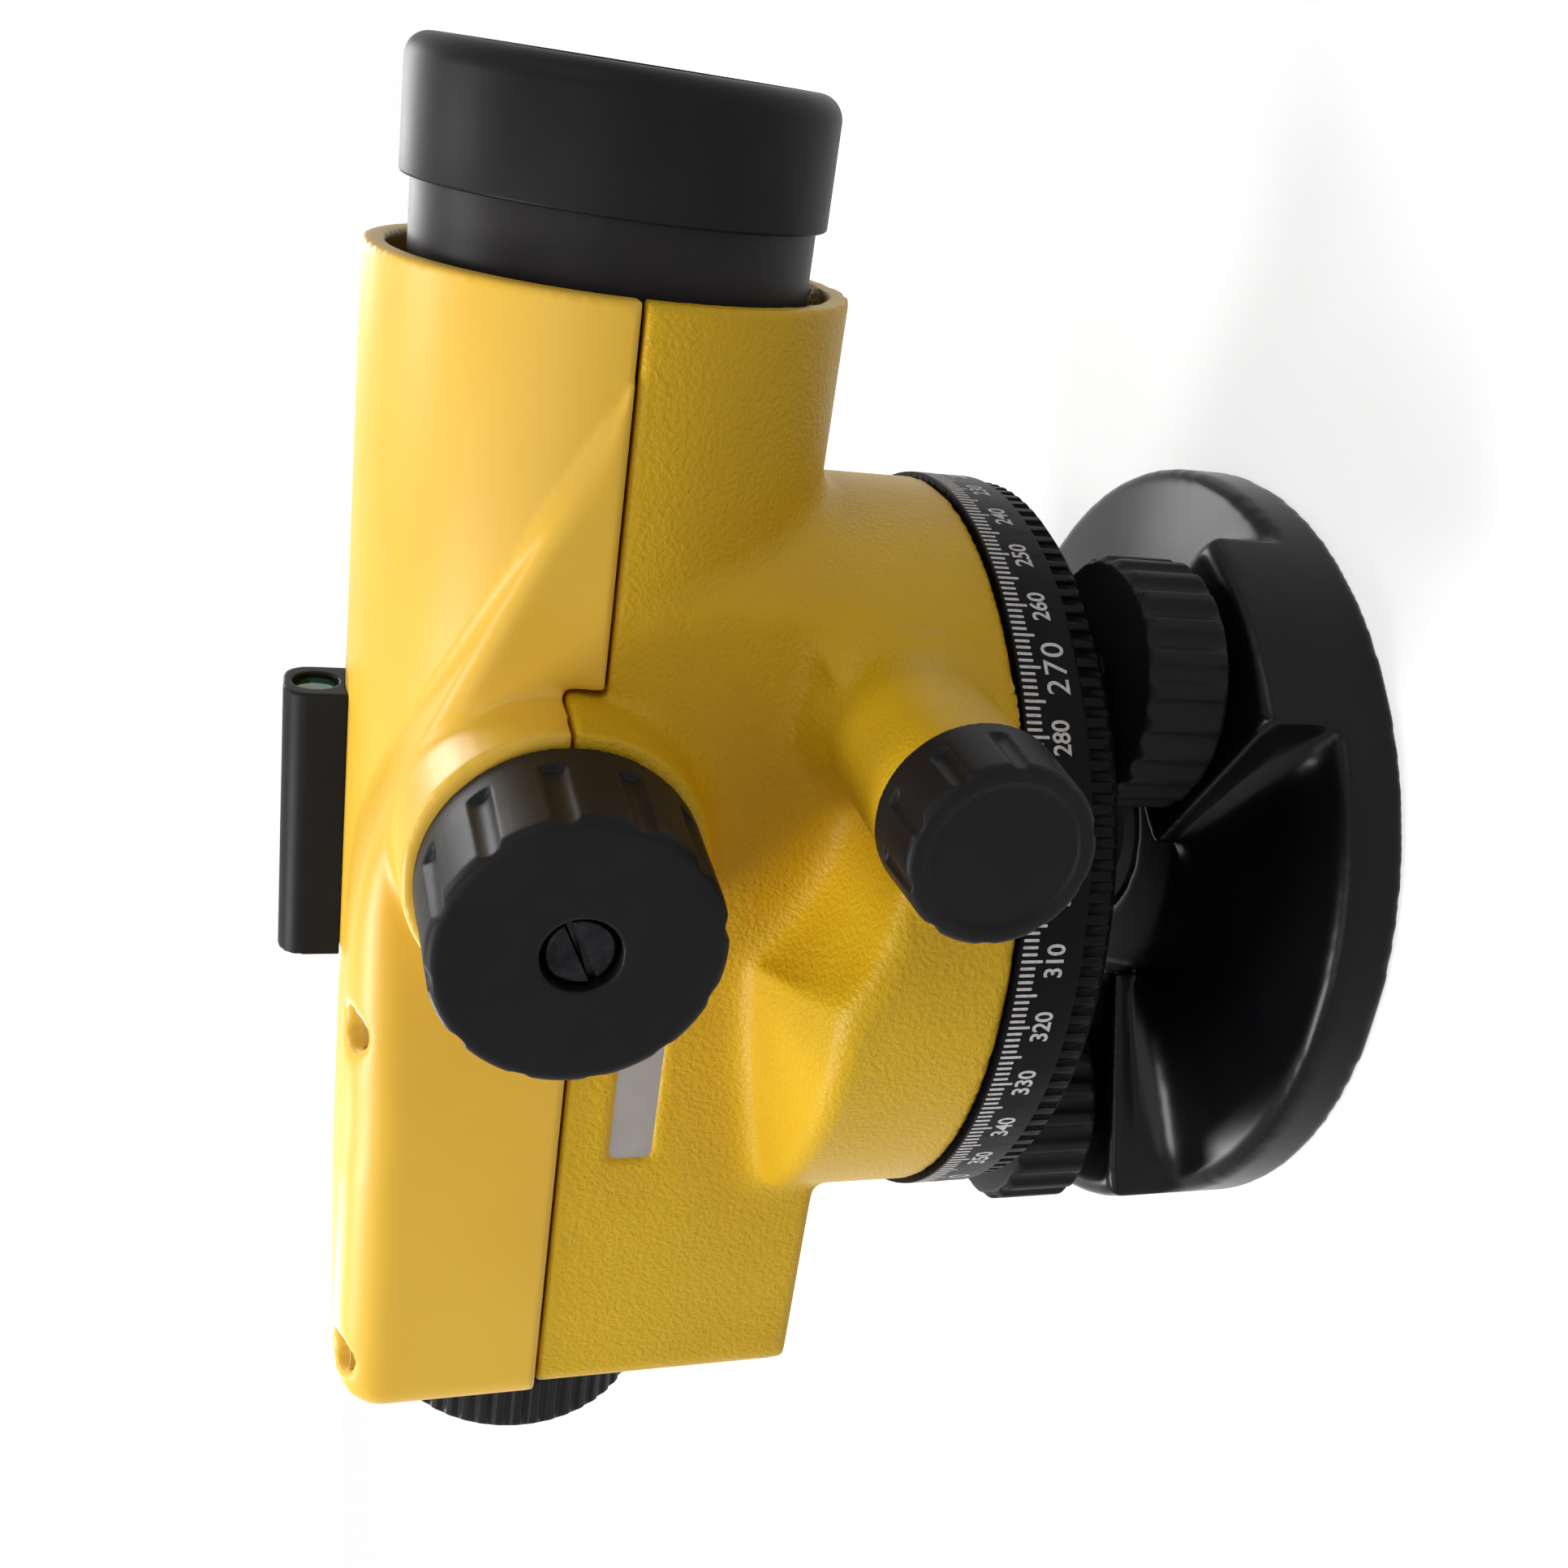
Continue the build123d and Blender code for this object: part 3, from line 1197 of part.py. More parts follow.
with BuildPart() as drive_worm:
    with BuildSketch(Plane.XZ.offset(-worm_len / 2)):
        with Locations((drive_x, drive_z)):
            Circle(worm_r)
    extrude(amount=worm_len)
    with Locations(*[(drive_x, y, drive_z) for y in worm_groove_ys]):
        Torus(worm_r, worm_groove_r, mode=Mode.SUBTRACT, rotation=(90, 0, 0))
    with BuildSketch(Plane.XZ.offset(-worm_len / 2)):
        with Locations((drive_x, drive_z)):
            Circle(drive_shaft_r + seat_gap)
    extrude(amount=worm_len, mode=Mode.SUBTRACT)
drive_worm.part.label = "drive_worm"
export_step(drive_worm.part, "parts/drive_worm.step")

with BuildPart() as drive_bushes:
    for side in (1, -1):
        with BuildSketch(Plane.XZ.offset(side * (drive_boss_y - drive_bush_len))):
            with Locations((drive_x, drive_z)):
                Circle(drive_bush_r)
                Circle(drive_shaft_r + run_gap, mode=Mode.SUBTRACT)
        extrude(amount=side * drive_bush_len)
drive_bushes.part.label = "drive_bushes"
export_step(drive_bushes.part, "parts/drive_bushes.step")

for knob_name, side in (("drive_knob_right", 1), ("drive_knob_left", -1)):
    with BuildPart() as drive_knob:
        with BuildSketch(Plane.XZ.offset(side * drive_knob_y)):
            with Locations((drive_x, drive_z)):
                Circle(drive_knob_back_r)
        extrude(amount=side * drive_knob_len, taper=drive_knob_taper)
        fillet(drive_knob.edges().sort_by(Axis.Y)[0 if side == 1 else -1], drive_knob_edge_r)
        with BuildSketch(Plane.XZ.offset(side * (drive_knob_y + drive_knob_len - drive_flute_len))):
            with Locations((drive_x, drive_z)):
                with PolarLocations(drive_knob_back_r + drive_flute_r - drive_flute_depth, drive_flutes):
                    Circle(drive_flute_r)
        extrude(amount=side * drive_flute_len, taper=-drive_knob_taper / 2, mode=Mode.SUBTRACT)
        with BuildSketch(Plane.XZ.offset(side * (drive_knob_y + drive_knob_len - drive_face_sink))):
            with Locations((drive_x, drive_z)):
                Circle(drive_knob_face_r - drive_face_rim)
        extrude(amount=side * drive_face_sink, mode=Mode.SUBTRACT)
        with BuildSketch(Plane.XZ.offset(side * drive_knob_y)):
            with Locations((drive_x, drive_z)):
                Circle(drive_shaft_r + seat_gap)
        extrude(amount=side * (drive_knob_len - drive_knob_floor), mode=Mode.SUBTRACT)
    drive_knob.part.label = knob_name
    export_step(drive_knob.part, f"parts/{knob_name}.step")

# Compensator frame: base, two cheeks and the bar that the pendulum hangs from
with BuildPart() as compensator_frame:
    with BuildSketch(Plane.XY.offset(plate_top_z)):
        with Locations((comp_x, 0)):
            Rectangle(2 * comp_half_x, 2 * comp_half_y)
    extrude(amount=comp_base_h)
    with BuildSketch(Plane.XY.offset(plate_top_z + comp_base_h)):
        with Locations((comp_x, comp_half_y - comp_cheek / 2), (comp_x, -comp_half_y + comp_cheek / 2)):
            Rectangle(2 * comp_half_x, comp_cheek)
    extrude(amount=comp_top_z - plate_top_z - comp_base_h)
    with BuildSketch(Plane.XY.offset(comp_top_z - comp_bar_h)):
        with Locations((comp_x, 0)):
            Rectangle(2 * comp_bar_half_x, 2 * comp_half_y)
    extrude(amount=comp_bar_h)
compensator_frame.part.label = "compensator_frame"
export_step(compensator_frame.part, "parts/compensator_frame.step")

# Two fixed prisms between the cheeks
with BuildPart() as fixed_prisms:
    for side in (1, -1):
        with BuildSketch(Plane.XZ.offset(-comp_half_y + comp_cheek)):
            Polygon(
                (comp_x + side * (prism_half + prism_gap), axis_z + prism_half),
                (comp_x + side * (comp_half_x - prism_inset), axis_z + prism_half),
                (comp_x + side * (comp_half_x - prism_inset), axis_z - prism_half),
                align=None,
            )
        extrude(amount=2 * (comp_half_y - comp_cheek))
fixed_prisms.part.label = "fixed_prisms"
export_step(fixed_prisms.part, "parts/fixed_prisms.step")

# Tapes, hanger and prism of the pendulum
with BuildPart() as suspension_tapes:
    with BuildSketch(Plane.XY.offset(hang_z - tape_len)):
        with Locations((comp_x, tape_y), (comp_x, -tape_y)):
            Rectangle(tape_t, tape_w)
    extrude(amount=tape_len - run_gap)
suspension_tapes.part.label = "suspension_tapes"
export_step(suspension_tapes.part, "parts/suspension_tapes.step")

with BuildPart() as pendulum_hanger:
    with BuildSketch(Plane.XY.offset(hanger_z)):
        with Locations((comp_x, 0)):
            Rectangle(prism_half, 2 * (tape_y + tape_w))
    extrude(amount=hanger_h)
    with BuildSketch(Plane.XY.offset(damper_z)):
        with Locations((comp_x, hanger_arm_y), (comp_x, -hanger_arm_y)):
            Rectangle(prism_half, hanger_arm_t)
    extrude(amount=hanger_z - damper_z)
    with BuildSketch(Plane.XY.offset(damper_z)):
        with Locations((comp_x, 0)):
            Rectangle(prism_half, 2 * hanger_arm_y + hanger_arm_t)
    extrude(amount=hanger_plate_t)
pendulum_hanger.part.label = "pendulum_hanger"
export_step(pendulum_hanger.part, "parts/pendulum_hanger.step")

with BuildPart() as pendulum_prism:
    with BuildSketch(Plane.XZ.offset(-prism_half - prism_spare)):
        Polygon(
            (comp_x - prism_half, axis_z - prism_half + prism_lift),
            (comp_x + prism_half, axis_z - prism_half + prism_lift),
            (comp_x + prism_half / 2, hanger_z),
            (comp_x - prism_half / 2, hanger_z),
            align=None,
        )
    extrude(amount=2 * (prism_half + prism_spare))
pendulum_prism.part.label = "pendulum_prism"
export_step(pendulum_prism.part, "parts/pendulum_prism.step")

# Magnets that damp the pendulum's plate
with BuildPart() as damping_magnets:
    with BuildSketch(Plane.XY.offset(plate_top_z + comp_base_h)):
        with Locations((comp_x, magnet_y), (comp_x, -magnet_y)):
            Circle(magnet_r)
    extrude(amount=damper_z - damper_gap - plate_top_z - comp_base_h)
damping_magnets.part.label = "damping_magnets"
export_step(damping_magnets.part, "parts/damping_magnets.step")

# Reticle in its holder, ahead of the eyepiece tube
with BuildPart() as reticle_holder:
    with BuildSketch(Plane.YZ.offset(reticle_x)):
        with Locations((0, axis_z)):
            Circle(eye_tube_r)
            Circle(reticle_r - reticle_seat, mode=Mode.SUBTRACT)
    extrude(amount=reticle_w)
    with BuildSketch(Plane.YZ.offset(reticle_x + reticle_seat)):
        with Locations((0, axis_z)):
            Circle(reticle_r + seat_gap)
    extrude(amount=reticle_w, mode=Mode.SUBTRACT)
reticle_holder.part.label = "reticle_holder"
export_step(reticle_holder.part, "parts/reticle_holder.step")

with BuildPart() as reticle:
    with BuildSketch(Plane.YZ.offset(reticle_x + reticle_seat)):
        with Locations((0, axis_z)):
            Circle(reticle_r)
    extrude(amount=reticle_t)
reticle.part.label = "reticle"
export_step(reticle.part, "parts/reticle.step")

# Eyepiece tube with the collar behind the housing
with BuildPart() as eyepiece_tube:
    with BuildSketch(Plane.YZ.offset(eye_tube_end_x)):
        with Locations((0, axis_z)):
            Circle(eye_tube_r)
    extrude(amount=eye_tube_front_x - eye_tube_end_x)
    with BuildSketch(Plane.YZ.offset(eye_collar_x - eye_collar_h)):
        with Locations((0, axis_z)):
            Circle(eye_collar_r)
    extrude(amount=eye_collar_h)
    with BuildSketch(Plane.YZ.offset(eye_tube_end_x)):
        with Locations((0, axis_z)):
            Circle(eye_bore_r)
    extrude(amount=eye_tube_front_x - eye_tube_end_x, mode=Mode.SUBTRACT)
eyepiece_tube.part.label = "eyepiece_tube"
export_step(eyepiece_tube.part, "parts/eyepiece_tube.step")

# Ribbed dioptre ring and the rubber eye guard on it
with BuildPart() as dioptre_ring:
    with BuildSketch(Plane.YZ.offset(ring_end_x)):
        with Locations((0, axis_z)):
            Circle(ring_r)
    extrude(amount=ring_h)
    chamfer(dioptre_ring.edges(), ring_chamfer)
    with BuildSketch(Plane.YZ.offset(ring_end_x)):
        with Locations((0, axis_z)):
            with PolarLocations(ring_r + ring_rib_out, ring_ribs):
                Circle(ring_rib_r)
    extrude(amount=ring_h, mode=Mode.SUBTRACT)
    with BuildSketch(Plane.YZ.offset(ring_end_x)):
        with Locations((0, axis_z)):
            Circle(ring_web_r)
    extrude(amount=ring_h, mode=Mode.SUBTRACT)
    with BuildSketch(Plane.YZ.offset(eye_tube_end_x - body_gap)):
        with Locations((0, axis_z)):
            Circle(eye_tube_r + run_gap)
    extrude(amount=ring_h, mode=Mode.SUBTRACT)
dioptre_ring.part.label = "dioptre_ring"
export_step(dioptre_ring.part, "parts/dioptre_ring.step")

with BuildPart() as eye_guard:
    with BuildSketch(Plane.XZ):
        Polygon(
            (ring_end_x, axis_z + guard_bore_r),
            (ring_end_x, axis_z + guard_r),
            (ring_end_x - guard_len + guard_chamfer, axis_z + guard_tip_r),
            (ring_end_x - guard_len, axis_z + guard_tip_r - guard_chamfer),
            (ring_end_x - guard_len, axis_z + guard_bore_r),
            align=None,
        )
    revolve(axis=Axis((0, 0, axis_z), (1, 0, 0)))
eye_guard.part.label = "eye_guard"
export_step(eye_guard.part, "parts/eye_guard.step")

# Eyepiece cell that the dioptre ring moves in and out, with its two lenses
with BuildPart() as eyepiece_cell:
    with BuildSketch(Plane.YZ.offset(eye_cell_rear_x)):
        with Locations((0, axis_z)):
            Circle(eye_bore_r - run_gap)
            Circle(eye_lens_r - eye_lens_seat, mode=Mode.SUBTRACT)
    extrude(amount=eye_cell_len)
    for x in (eye_cell_rear_x, eye_cell_rear_x + eye_cell_len - eye_lens_t):
        with BuildSketch(Plane.YZ.offset(x)):
            with Locations((0, axis_z)):
                Circle(eye_lens_r + seat_gap)
        extrude(amount=eye_lens_t, mode=Mode.SUBTRACT)
eyepiece_cell.part.label = "eyepiece_cell"
export_step(eyepiece_cell.part, "parts/eyepiece_cell.step")

with BuildPart() as eyepiece_lenses:
    for x, way in ((eye_cell_rear_x, 1), (eye_cell_rear_x + eye_cell_len, -1)):
        with BuildSketch(Plane.XZ):
            with BuildLine():
                ThreePointArc(
                    (x + way * eye_lens_t / 2, axis_z + eye_lens_r),
                    (x + way * eye_lens_t, axis_z),
                    (x + way * eye_lens_t / 2, axis_z - eye_lens_r),
                )
                Polyline(
                    (x + way * eye_lens_t / 2, axis_z - eye_lens_r),
                    (x, axis_z - eye_lens_r),
                    (x, axis_z + eye_lens_r),
                    (x + way * eye_lens_t / 2, axis_z + eye_lens_r),
                )
            make_face()
            with Locations((x, axis_z - eye_lens_r)):
                Rectangle(2 * eye_lens_r, 2 * eye_lens_r, mode=Mode.SUBTRACT)
        revolve(axis=Axis((0, 0, axis_z), (1, 0, 0)))
eyepiece_lenses.part.label = "eyepiece_lenses"
export_step(eyepiece_lenses.part, "parts/eyepiece_lenses.step")

# Circular level on its pad at the left, held by three adjusting screws
with BuildPart() as level_housing:
    with BuildSketch(Plane.XY.offset(level_flange_z)):
        with Locations((level_x, level_y)):
            Circle(level_pad_r)
    extrude(amount=level_flange_h)
    with BuildSketch(Plane.XY.offset(level_flange_z + level_flange_h)):
        with Locations((level_x, level_y)):
            Circle(level_cup_r)
    extrude(amount=level_cup_h)
    with BuildSketch(Plane.XY.offset(vial_z)):
        with Locations((level_x, level_y)):
            Circle(vial_r + seat_gap)
    extrude(amount=vial_h, mode=Mode.SUBTRACT)
    with BuildSketch(Plane.XY.offset(level_flange_z)):
        with Locations(*level_screw_points):
            Circle(level_screw_r + seat_gap)
    extrude(amount=level_flange_h, mode=Mode.SUBTRACT)
level_housing.part.label = "level_housing"
export_step(level_housing.part, "parts/level_housing.step")

with BuildPart() as level_vial:
    with BuildSketch(Plane.XY.offset(vial_z)):
        with Locations((level_x, level_y)):
            Circle(vial_r)
    extrude(amount=vial_h)
    fillet(level_vial.edges().sort_by(Axis.Z)[-1], vial_edge_r)
level_vial.part.label = "level_vial"
export_step(level_vial.part, "parts/level_vial.step")

with BuildPart() as level_screws:
    with BuildSketch(Plane.XY.offset(level_pad_z - level_screw_bite)):
        with Locations(*level_screw_points):
            Circle(level_screw_r - seat_gap)
    extrude(amount=level_flange_z + level_flange_h - level_pad_z + level_screw_bite)
    with BuildSketch(Plane.XY.offset(level_flange_z + level_flange_h)):
        with Locations(*level_screw_points):
            Circle(level_screw_head_r)
    extrude(amount=level_screw_r)
level_screws.part.label = "level_screws"
export_step(level_screws.part, "parts/level_screws.step")

# Mirror box over the level, open below and to the rear, on the side of the cover
with BuildPart() as mirror_box:
    with BuildSketch(Plane.XZ.offset(-cover_half - mirror_depth)):
        Polygon(
            (level_x - mirror_len / 2, mirror_z + mirror_h),
            (level_x + mirror_len / 2 - mirror_h / 2, mirror_z + mirror_h),
            (level_x + mirror_len / 2, mirror_z + mirror_h / 2),
            (level_x + mirror_len / 2, mirror_z),
            (level_x - mirror_len / 2, mirror_z),
            align=None,
        )
    extrude(amount=mirror_depth)
    with BuildSketch(Plane.XZ.offset(-cover_half - mirror_depth + mirror_wall)):
        Polygon(
            (level_x - mirror_len / 2, mirror_z + mirror_h - mirror_wall),
            (level_x + mirror_len / 2 - mirror_h / 2 - mirror_wall, mirror_z + mirror_h - mirror_wall),
            (level_x + mirror_len / 2 - mirror_wall, mirror_z + mirror_h / 2 - mirror_wall),
            (level_x + mirror_len / 2 - mirror_wall, mirror_z),
            (level_x - mirror_len / 2, mirror_z),
            align=None,
        )
    extrude(amount=mirror_depth - 2 * mirror_wall, mode=Mode.SUBTRACT)
mirror_box.part.label = "mirror_box"
export_step(mirror_box.part, "parts/mirror_box.step")

with BuildPart() as level_mirror:
    with BuildSketch(Plane.XZ.offset(-cover_half - mirror_depth + mirror_wall)):
        Polygon(
            (level_x + mirror_len / 2 - mirror_h / 2 - mirror_wall, mirror_z + mirror_h - mirror_wall),
            (level_x + mirror_len / 2 - mirror_wall, mirror_z + mirror_h / 2 - mirror_wall),
            (level_x + mirror_len / 2 - mirror_wall - mirror_t, mirror_z + mirror_h / 2 - mirror_wall - mirror_t),
            (
                level_x + mirror_len / 2 - mirror_h / 2 - mirror_wall - mirror_t,
                mirror_z + mirror_h - mirror_wall - mirror_t,
            ),
            align=None,
        )
    extrude(amount=mirror_depth - 2 * mirror_wall)
level_mirror.part.label = "level_mirror"
export_step(level_mirror.part, "parts/level_mirror.step")

# Peep sight on the crown of the tube, with a small lens at each end
with BuildPart() as sight_body:
    with BuildSketch(Plane.YZ.offset(sight_rear_x)):
        with Locations((0, (sight_top_z + axis_z) / 2)):
            Rectangle(2 * sight_half_w, sight_top_z - axis_z)
    extrude(amount=sight_front_x - sight_rear_x)
    fillet(sight_body.edges().filter_by(Axis.X).group_by(Axis.Z)[-1], sight_edge_r)
    with BuildSketch(Plane.YZ.offset(sight_rear_x)):
        with Locations((0, axis_z)):
            Circle(tube_r + seat_gap)
        with Locations((0, sight_bore_z)):
            Circle(sight_bore_r)
    extrude(amount=sight_front_x - sight_rear_x, mode=Mode.SUBTRACT)
sight_body.part.label = "sight_body"
export_step(sight_body.part, "parts/sight_body.step")

with BuildPart() as sight_lenses:
    for x in (sight_rear_x + sight_lens_inset, sight_front_x - sight_lens_inset - sight_lens_t):
        with BuildSketch(Plane.YZ.offset(x)):
            with Locations((0, sight_bore_z)):
                Circle(sight_bore_r - seat_gap)
        extrude(amount=sight_lens_t)
sight_lenses.part.label = "sight_lenses"
export_step(sight_lenses.part, "parts/sight_lenses.step")

# Bare metal plate in its recess on the right side
with BuildPart() as number_plate:
    with BuildSketch(Plane.XZ.offset(tube_r - plate_recess)):
        with Locations((plate_x, plate_z)):
            Rectangle(plate_len - 2 * seat_gap, plate_h - 2 * seat_gap)
    extrude(amount=plate_t)
number_plate.part.label = "number_plate"
export_step(number_plate.part, "parts/number_plate.step")
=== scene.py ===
import json
from math import cos, pi, radians, sin, sqrt

import bmesh
import bpy
from mathutils import Matrix, Vector


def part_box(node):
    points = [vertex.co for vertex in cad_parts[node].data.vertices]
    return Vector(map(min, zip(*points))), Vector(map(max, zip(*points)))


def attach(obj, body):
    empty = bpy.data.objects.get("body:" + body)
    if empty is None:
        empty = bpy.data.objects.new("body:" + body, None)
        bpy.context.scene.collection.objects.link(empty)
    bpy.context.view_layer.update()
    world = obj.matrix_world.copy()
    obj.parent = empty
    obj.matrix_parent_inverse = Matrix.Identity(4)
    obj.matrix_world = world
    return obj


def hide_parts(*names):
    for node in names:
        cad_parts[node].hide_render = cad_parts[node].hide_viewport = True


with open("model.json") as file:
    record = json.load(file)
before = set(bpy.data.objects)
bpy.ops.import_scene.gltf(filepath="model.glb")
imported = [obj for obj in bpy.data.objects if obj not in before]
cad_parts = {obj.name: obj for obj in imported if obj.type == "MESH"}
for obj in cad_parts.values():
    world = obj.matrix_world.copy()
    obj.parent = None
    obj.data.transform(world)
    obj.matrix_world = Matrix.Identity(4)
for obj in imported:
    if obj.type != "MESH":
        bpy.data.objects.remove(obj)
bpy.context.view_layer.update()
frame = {"nodes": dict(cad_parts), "record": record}
mm = 0.001               # everything is placed in metres, sizes are written in millimetres


def middle(nodeName):
    low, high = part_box(nodeName)
    return (low + high) / 2


def clearSelection():
    if bpy.context.mode != "OBJECT":
        bpy.ops.object.mode_set(mode="OBJECT")
    bpy.ops.object.select_all(action="DESELECT")


def pick(piece):
    clearSelection()
    piece.select_set(True)
    bpy.context.view_layer.objects.active = piece


def addModifier(piece, kind, **settings):
    pick(piece)
    modifier = piece.modifiers.new(kind.title(), kind)
    for key, value in settings.items():
        setattr(modifier, key, value)
    bpy.ops.object.modifier_apply(modifier=modifier.name)


def smoothShade(piece, angle=35):
    pick(piece)
    bpy.ops.object.shade_smooth_by_angle(angle=radians(angle))


def machinedShade(piece, angle=30):
    # flat faces stay flat up to their edges, whatever their triangles are
    smoothShade(piece, angle)
    addModifier(piece, "WEIGHTED_NORMAL", keep_sharp=True)


def meshCopy(nodeName, pieceName):
    # a free copy of a CAD node with its loose triangles merged
    piece = bpy.data.objects.new(pieceName, frame["nodes"][nodeName].data.copy())
    bpy.context.scene.collection.objects.link(piece)
    piece.data.materials.clear()
    pick(piece)
    bpy.ops.object.mode_set(mode="EDIT")
    bpy.ops.mesh.select_all(action="SELECT")
    bpy.ops.mesh.remove_doubles(threshold=0.002 * mm)
    bpy.ops.object.mode_set(mode="OBJECT")
    return piece


def weigh(piece, groupName, rule):
    # a vertex group from a rule on a point in millimetres
    group = piece.vertex_groups.new(name=groupName)
    for vertex in piece.data.vertices:
        weight = rule(vertex.co / mm, vertex.normal)
        if weight > 0:
            group.add([vertex.index], min(weight, 1.0), "REPLACE")


def softCopy(nodeName, pieceName, settings, lumps=(), isTrue=None):
    # a node's shape with its edges worn round, as a casting or a moulding has them
    piece = meshCopy(nodeName, pieceName)
    if lumps:
        for lump in lumps:
            lump.select_set(True)
        bpy.ops.object.join()
    addModifier(piece, "REMESH", mode="VOXEL", voxel_size=settings["voxel"] * mm)
    if isTrue:
        weigh(piece, "true", isTrue)
        addModifier(piece, "SHRINKWRAP", target=frame["nodes"][nodeName], wrap_method="NEAREST_SURFACEPOINT",
                    vertex_group="true")
    addModifier(piece, "SMOOTH", factor=0.5, iterations=settings["rounds"])
    return piece


def fillCorners(piece, rounds, groupName, keep):
    # long smoothing that rounds out the inner corners, while outer edges keep their shape
    before = [(vertex.co.copy(), vertex.normal.copy()) for vertex in piece.data.vertices]
    addModifier(piece, "SMOOTH", factor=0.5, iterations=rounds, vertex_group=groupName)
    for vertex, (place, normal) in zip(piece.data.vertices, before):
        move = vertex.co - place
        if move.dot(normal) < 0:
            vertex.co = place + move * keep
    piece.data.update()


def trueRadius(piece, centre, axis, radius, tolerance):
    # brings points that lie close to a cylinder exactly onto it
    axis = Vector(axis)
    centre = Vector(centre)
    moves = []
    for vertex in piece.data.vertices:
        point = vertex.co / mm - centre
        along = axis * point.dot(axis)
        spoke = point - along
        if abs(spoke.length - radius) < tolerance and abs(vertex.normal.dot(axis)) < 0.2:
            moves.append((vertex, (centre + along + spoke.normalized() * radius) * mm))
    for vertex, place in moves:
        vertex.co = place
    piece.data.update()


def truePlane(piece, axisIndex, height, tolerance):
    close = [vertex for vertex in piece.data.vertices
             if abs(vertex.normal[axisIndex]) > 0.96 and abs(vertex.co[axisIndex] / mm - height) < tolerance]
    for vertex in close:
        vertex.co[axisIndex] = height * mm
    piece.data.update()


def turned(pieceName, centre, axisIndex, profile, segments=160):
    # rings pulled along an axis and scaled, as (place along the axis, radius) in millimetres
    centre = Vector(centre) * mm
    first, firstRadius = profile[0]
    place = centre.copy()
    place[axisIndex] = first * mm
    turns = {0: (0, pi / 2, 0), 1: (pi / 2, 0, 0), 2: (0, 0, 0)}
    clearSelection()
    bpy.ops.mesh.primitive_circle_add(
        vertices=segments, radius=firstRadius * mm, location=place, rotation=turns[axisIndex])
    piece = bpy.context.object
    piece.name = pieceName
    bpy.ops.object.mode_set(mode="EDIT")
    bpy.ops.mesh.select_all(action="SELECT")
    previous, previousRadius = first, firstRadius
    for station, radius in profile[1:]:
        step = Vector((0, 0, 0))
        step[axisIndex] = (station - previous) * mm
        bpy.ops.mesh.extrude_region_move(TRANSFORM_OT_translate={"value": step})
        grow = radius / previousRadius
        sizes = [grow, grow, grow]
        sizes[axisIndex] = 1
        place[axisIndex] = station * mm
        bpy.ops.transform.resize(value=sizes, center_override=place)
        previous, previousRadius = station, radius
    bpy.ops.mesh.select_all(action="SELECT")
    bpy.ops.mesh.remove_doubles(threshold=0.001 * mm)
    bpy.ops.mesh.normals_make_consistent(inside=False)
    bpy.ops.object.mode_set(mode="OBJECT")
    settle(piece)
    return piece


def settle(piece):
    # the place goes into the mesh and the object goes back to the origin
    pick(piece)
    bpy.ops.object.transform_apply(location=True, rotation=True, scale=True)


def roundEdges(piece, width, segments=4, angle=28):
    addModifier(piece, "BEVEL", width=width * mm, segments=segments, limit_method="ANGLE",
                angle_limit=radians(angle), harden_normals=False)


def fit(piece, body, material, nodes=()):
    piece.data.materials.clear()
    piece.data.materials.append(material)
    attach(piece, body)
    if nodes:
        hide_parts(*nodes)


def linear(hexText):
    channels = [int(hexText[i:i + 2], 16) / 255 for i in (0, 2, 4)]
    return [c / 12.92 if c <= 0.04045 else ((c + 0.055) / 1.055) ** 2.4 for c in channels] + [1.0]


def addNode(tree, kind, settings=None, links=None):
    node = tree.nodes.new(kind)
    for key, value in (settings or {}).items():
        if isinstance(key, str) and hasattr(node, key):
            setattr(node, key, value)
        else:
            node.inputs[key].default_value = value
    for key, socket in (links or {}).items():
        tree.links.new(socket, node.inputs[key])
    return node


def newMaterial(materialName, shaderSettings):
    material = bpy.data.materials.new(materialName)
    material.use_nodes = True
    tree = material.node_tree
    tree.nodes.clear()
    shader = addNode(tree, "ShaderNodeBsdfPrincipled", shaderSettings)
    addNode(tree, "ShaderNodeOutputMaterial", links={"Surface": shader.outputs[0]})
    place = addNode(tree, "ShaderNodeTexCoord").outputs["Object"]
    return material, tree, shader, place


def mottle(tree, shader, place, dark, light, spread):
    # slow change of colour over the surface; spread is the patch size in millimetres
    patches = addNode(tree, "ShaderNodeTexNoise",
                      {"Scale": 1 / (spread * mm), "Detail": 3.0, "Roughness": 0.55}, {"Vector": place})
    ramp = addNode(tree, "ShaderNodeValToRGB", links={"Fac": patches.outputs["Fac"]})
    for element, position, colour in zip(ramp.color_ramp.elements, (0.35, 0.65), (dark, light)):
        element.position = position
        element.color = linear(colour)
    tree.links.new(ramp.outputs["Color"], shader.inputs["Base Color"])


def handled(tree, shader, place, low, high, spread):
    # roughness that wanders between two values, as on a thing that hands polish
    patches = addNode(tree, "ShaderNodeTexNoise",
                      {"Scale": 1 / (spread * mm), "Detail": 4.0, "Roughness": 0.6}, {"Vector": place})
    span = addNode(tree, "ShaderNodeMapRange", {"To Min": low, "To Max": high},
                   {"Value": patches.outputs["Fac"]})
    tree.links.new(span.outputs[0], shader.inputs["Roughness"])


def grain(tree, shader, place, width, depth, detail=2.0, fineness=0.5, strength=0.5):
    # a fine skin that is felt as a bump; width and depth are its real size in millimetres
    noise = addNode(tree, "ShaderNodeTexNoise",
                    {"Scale": 1 / (width * mm), "Detail": detail, "Roughness": fineness}, {"Vector": place})
    bump = addNode(tree, "ShaderNodeBump", {"Distance": depth * mm, "Strength": strength},
                   {"Height": noise.outputs["Fac"]})
    tree.links.new(bump.outputs[0], shader.inputs["Normal"])


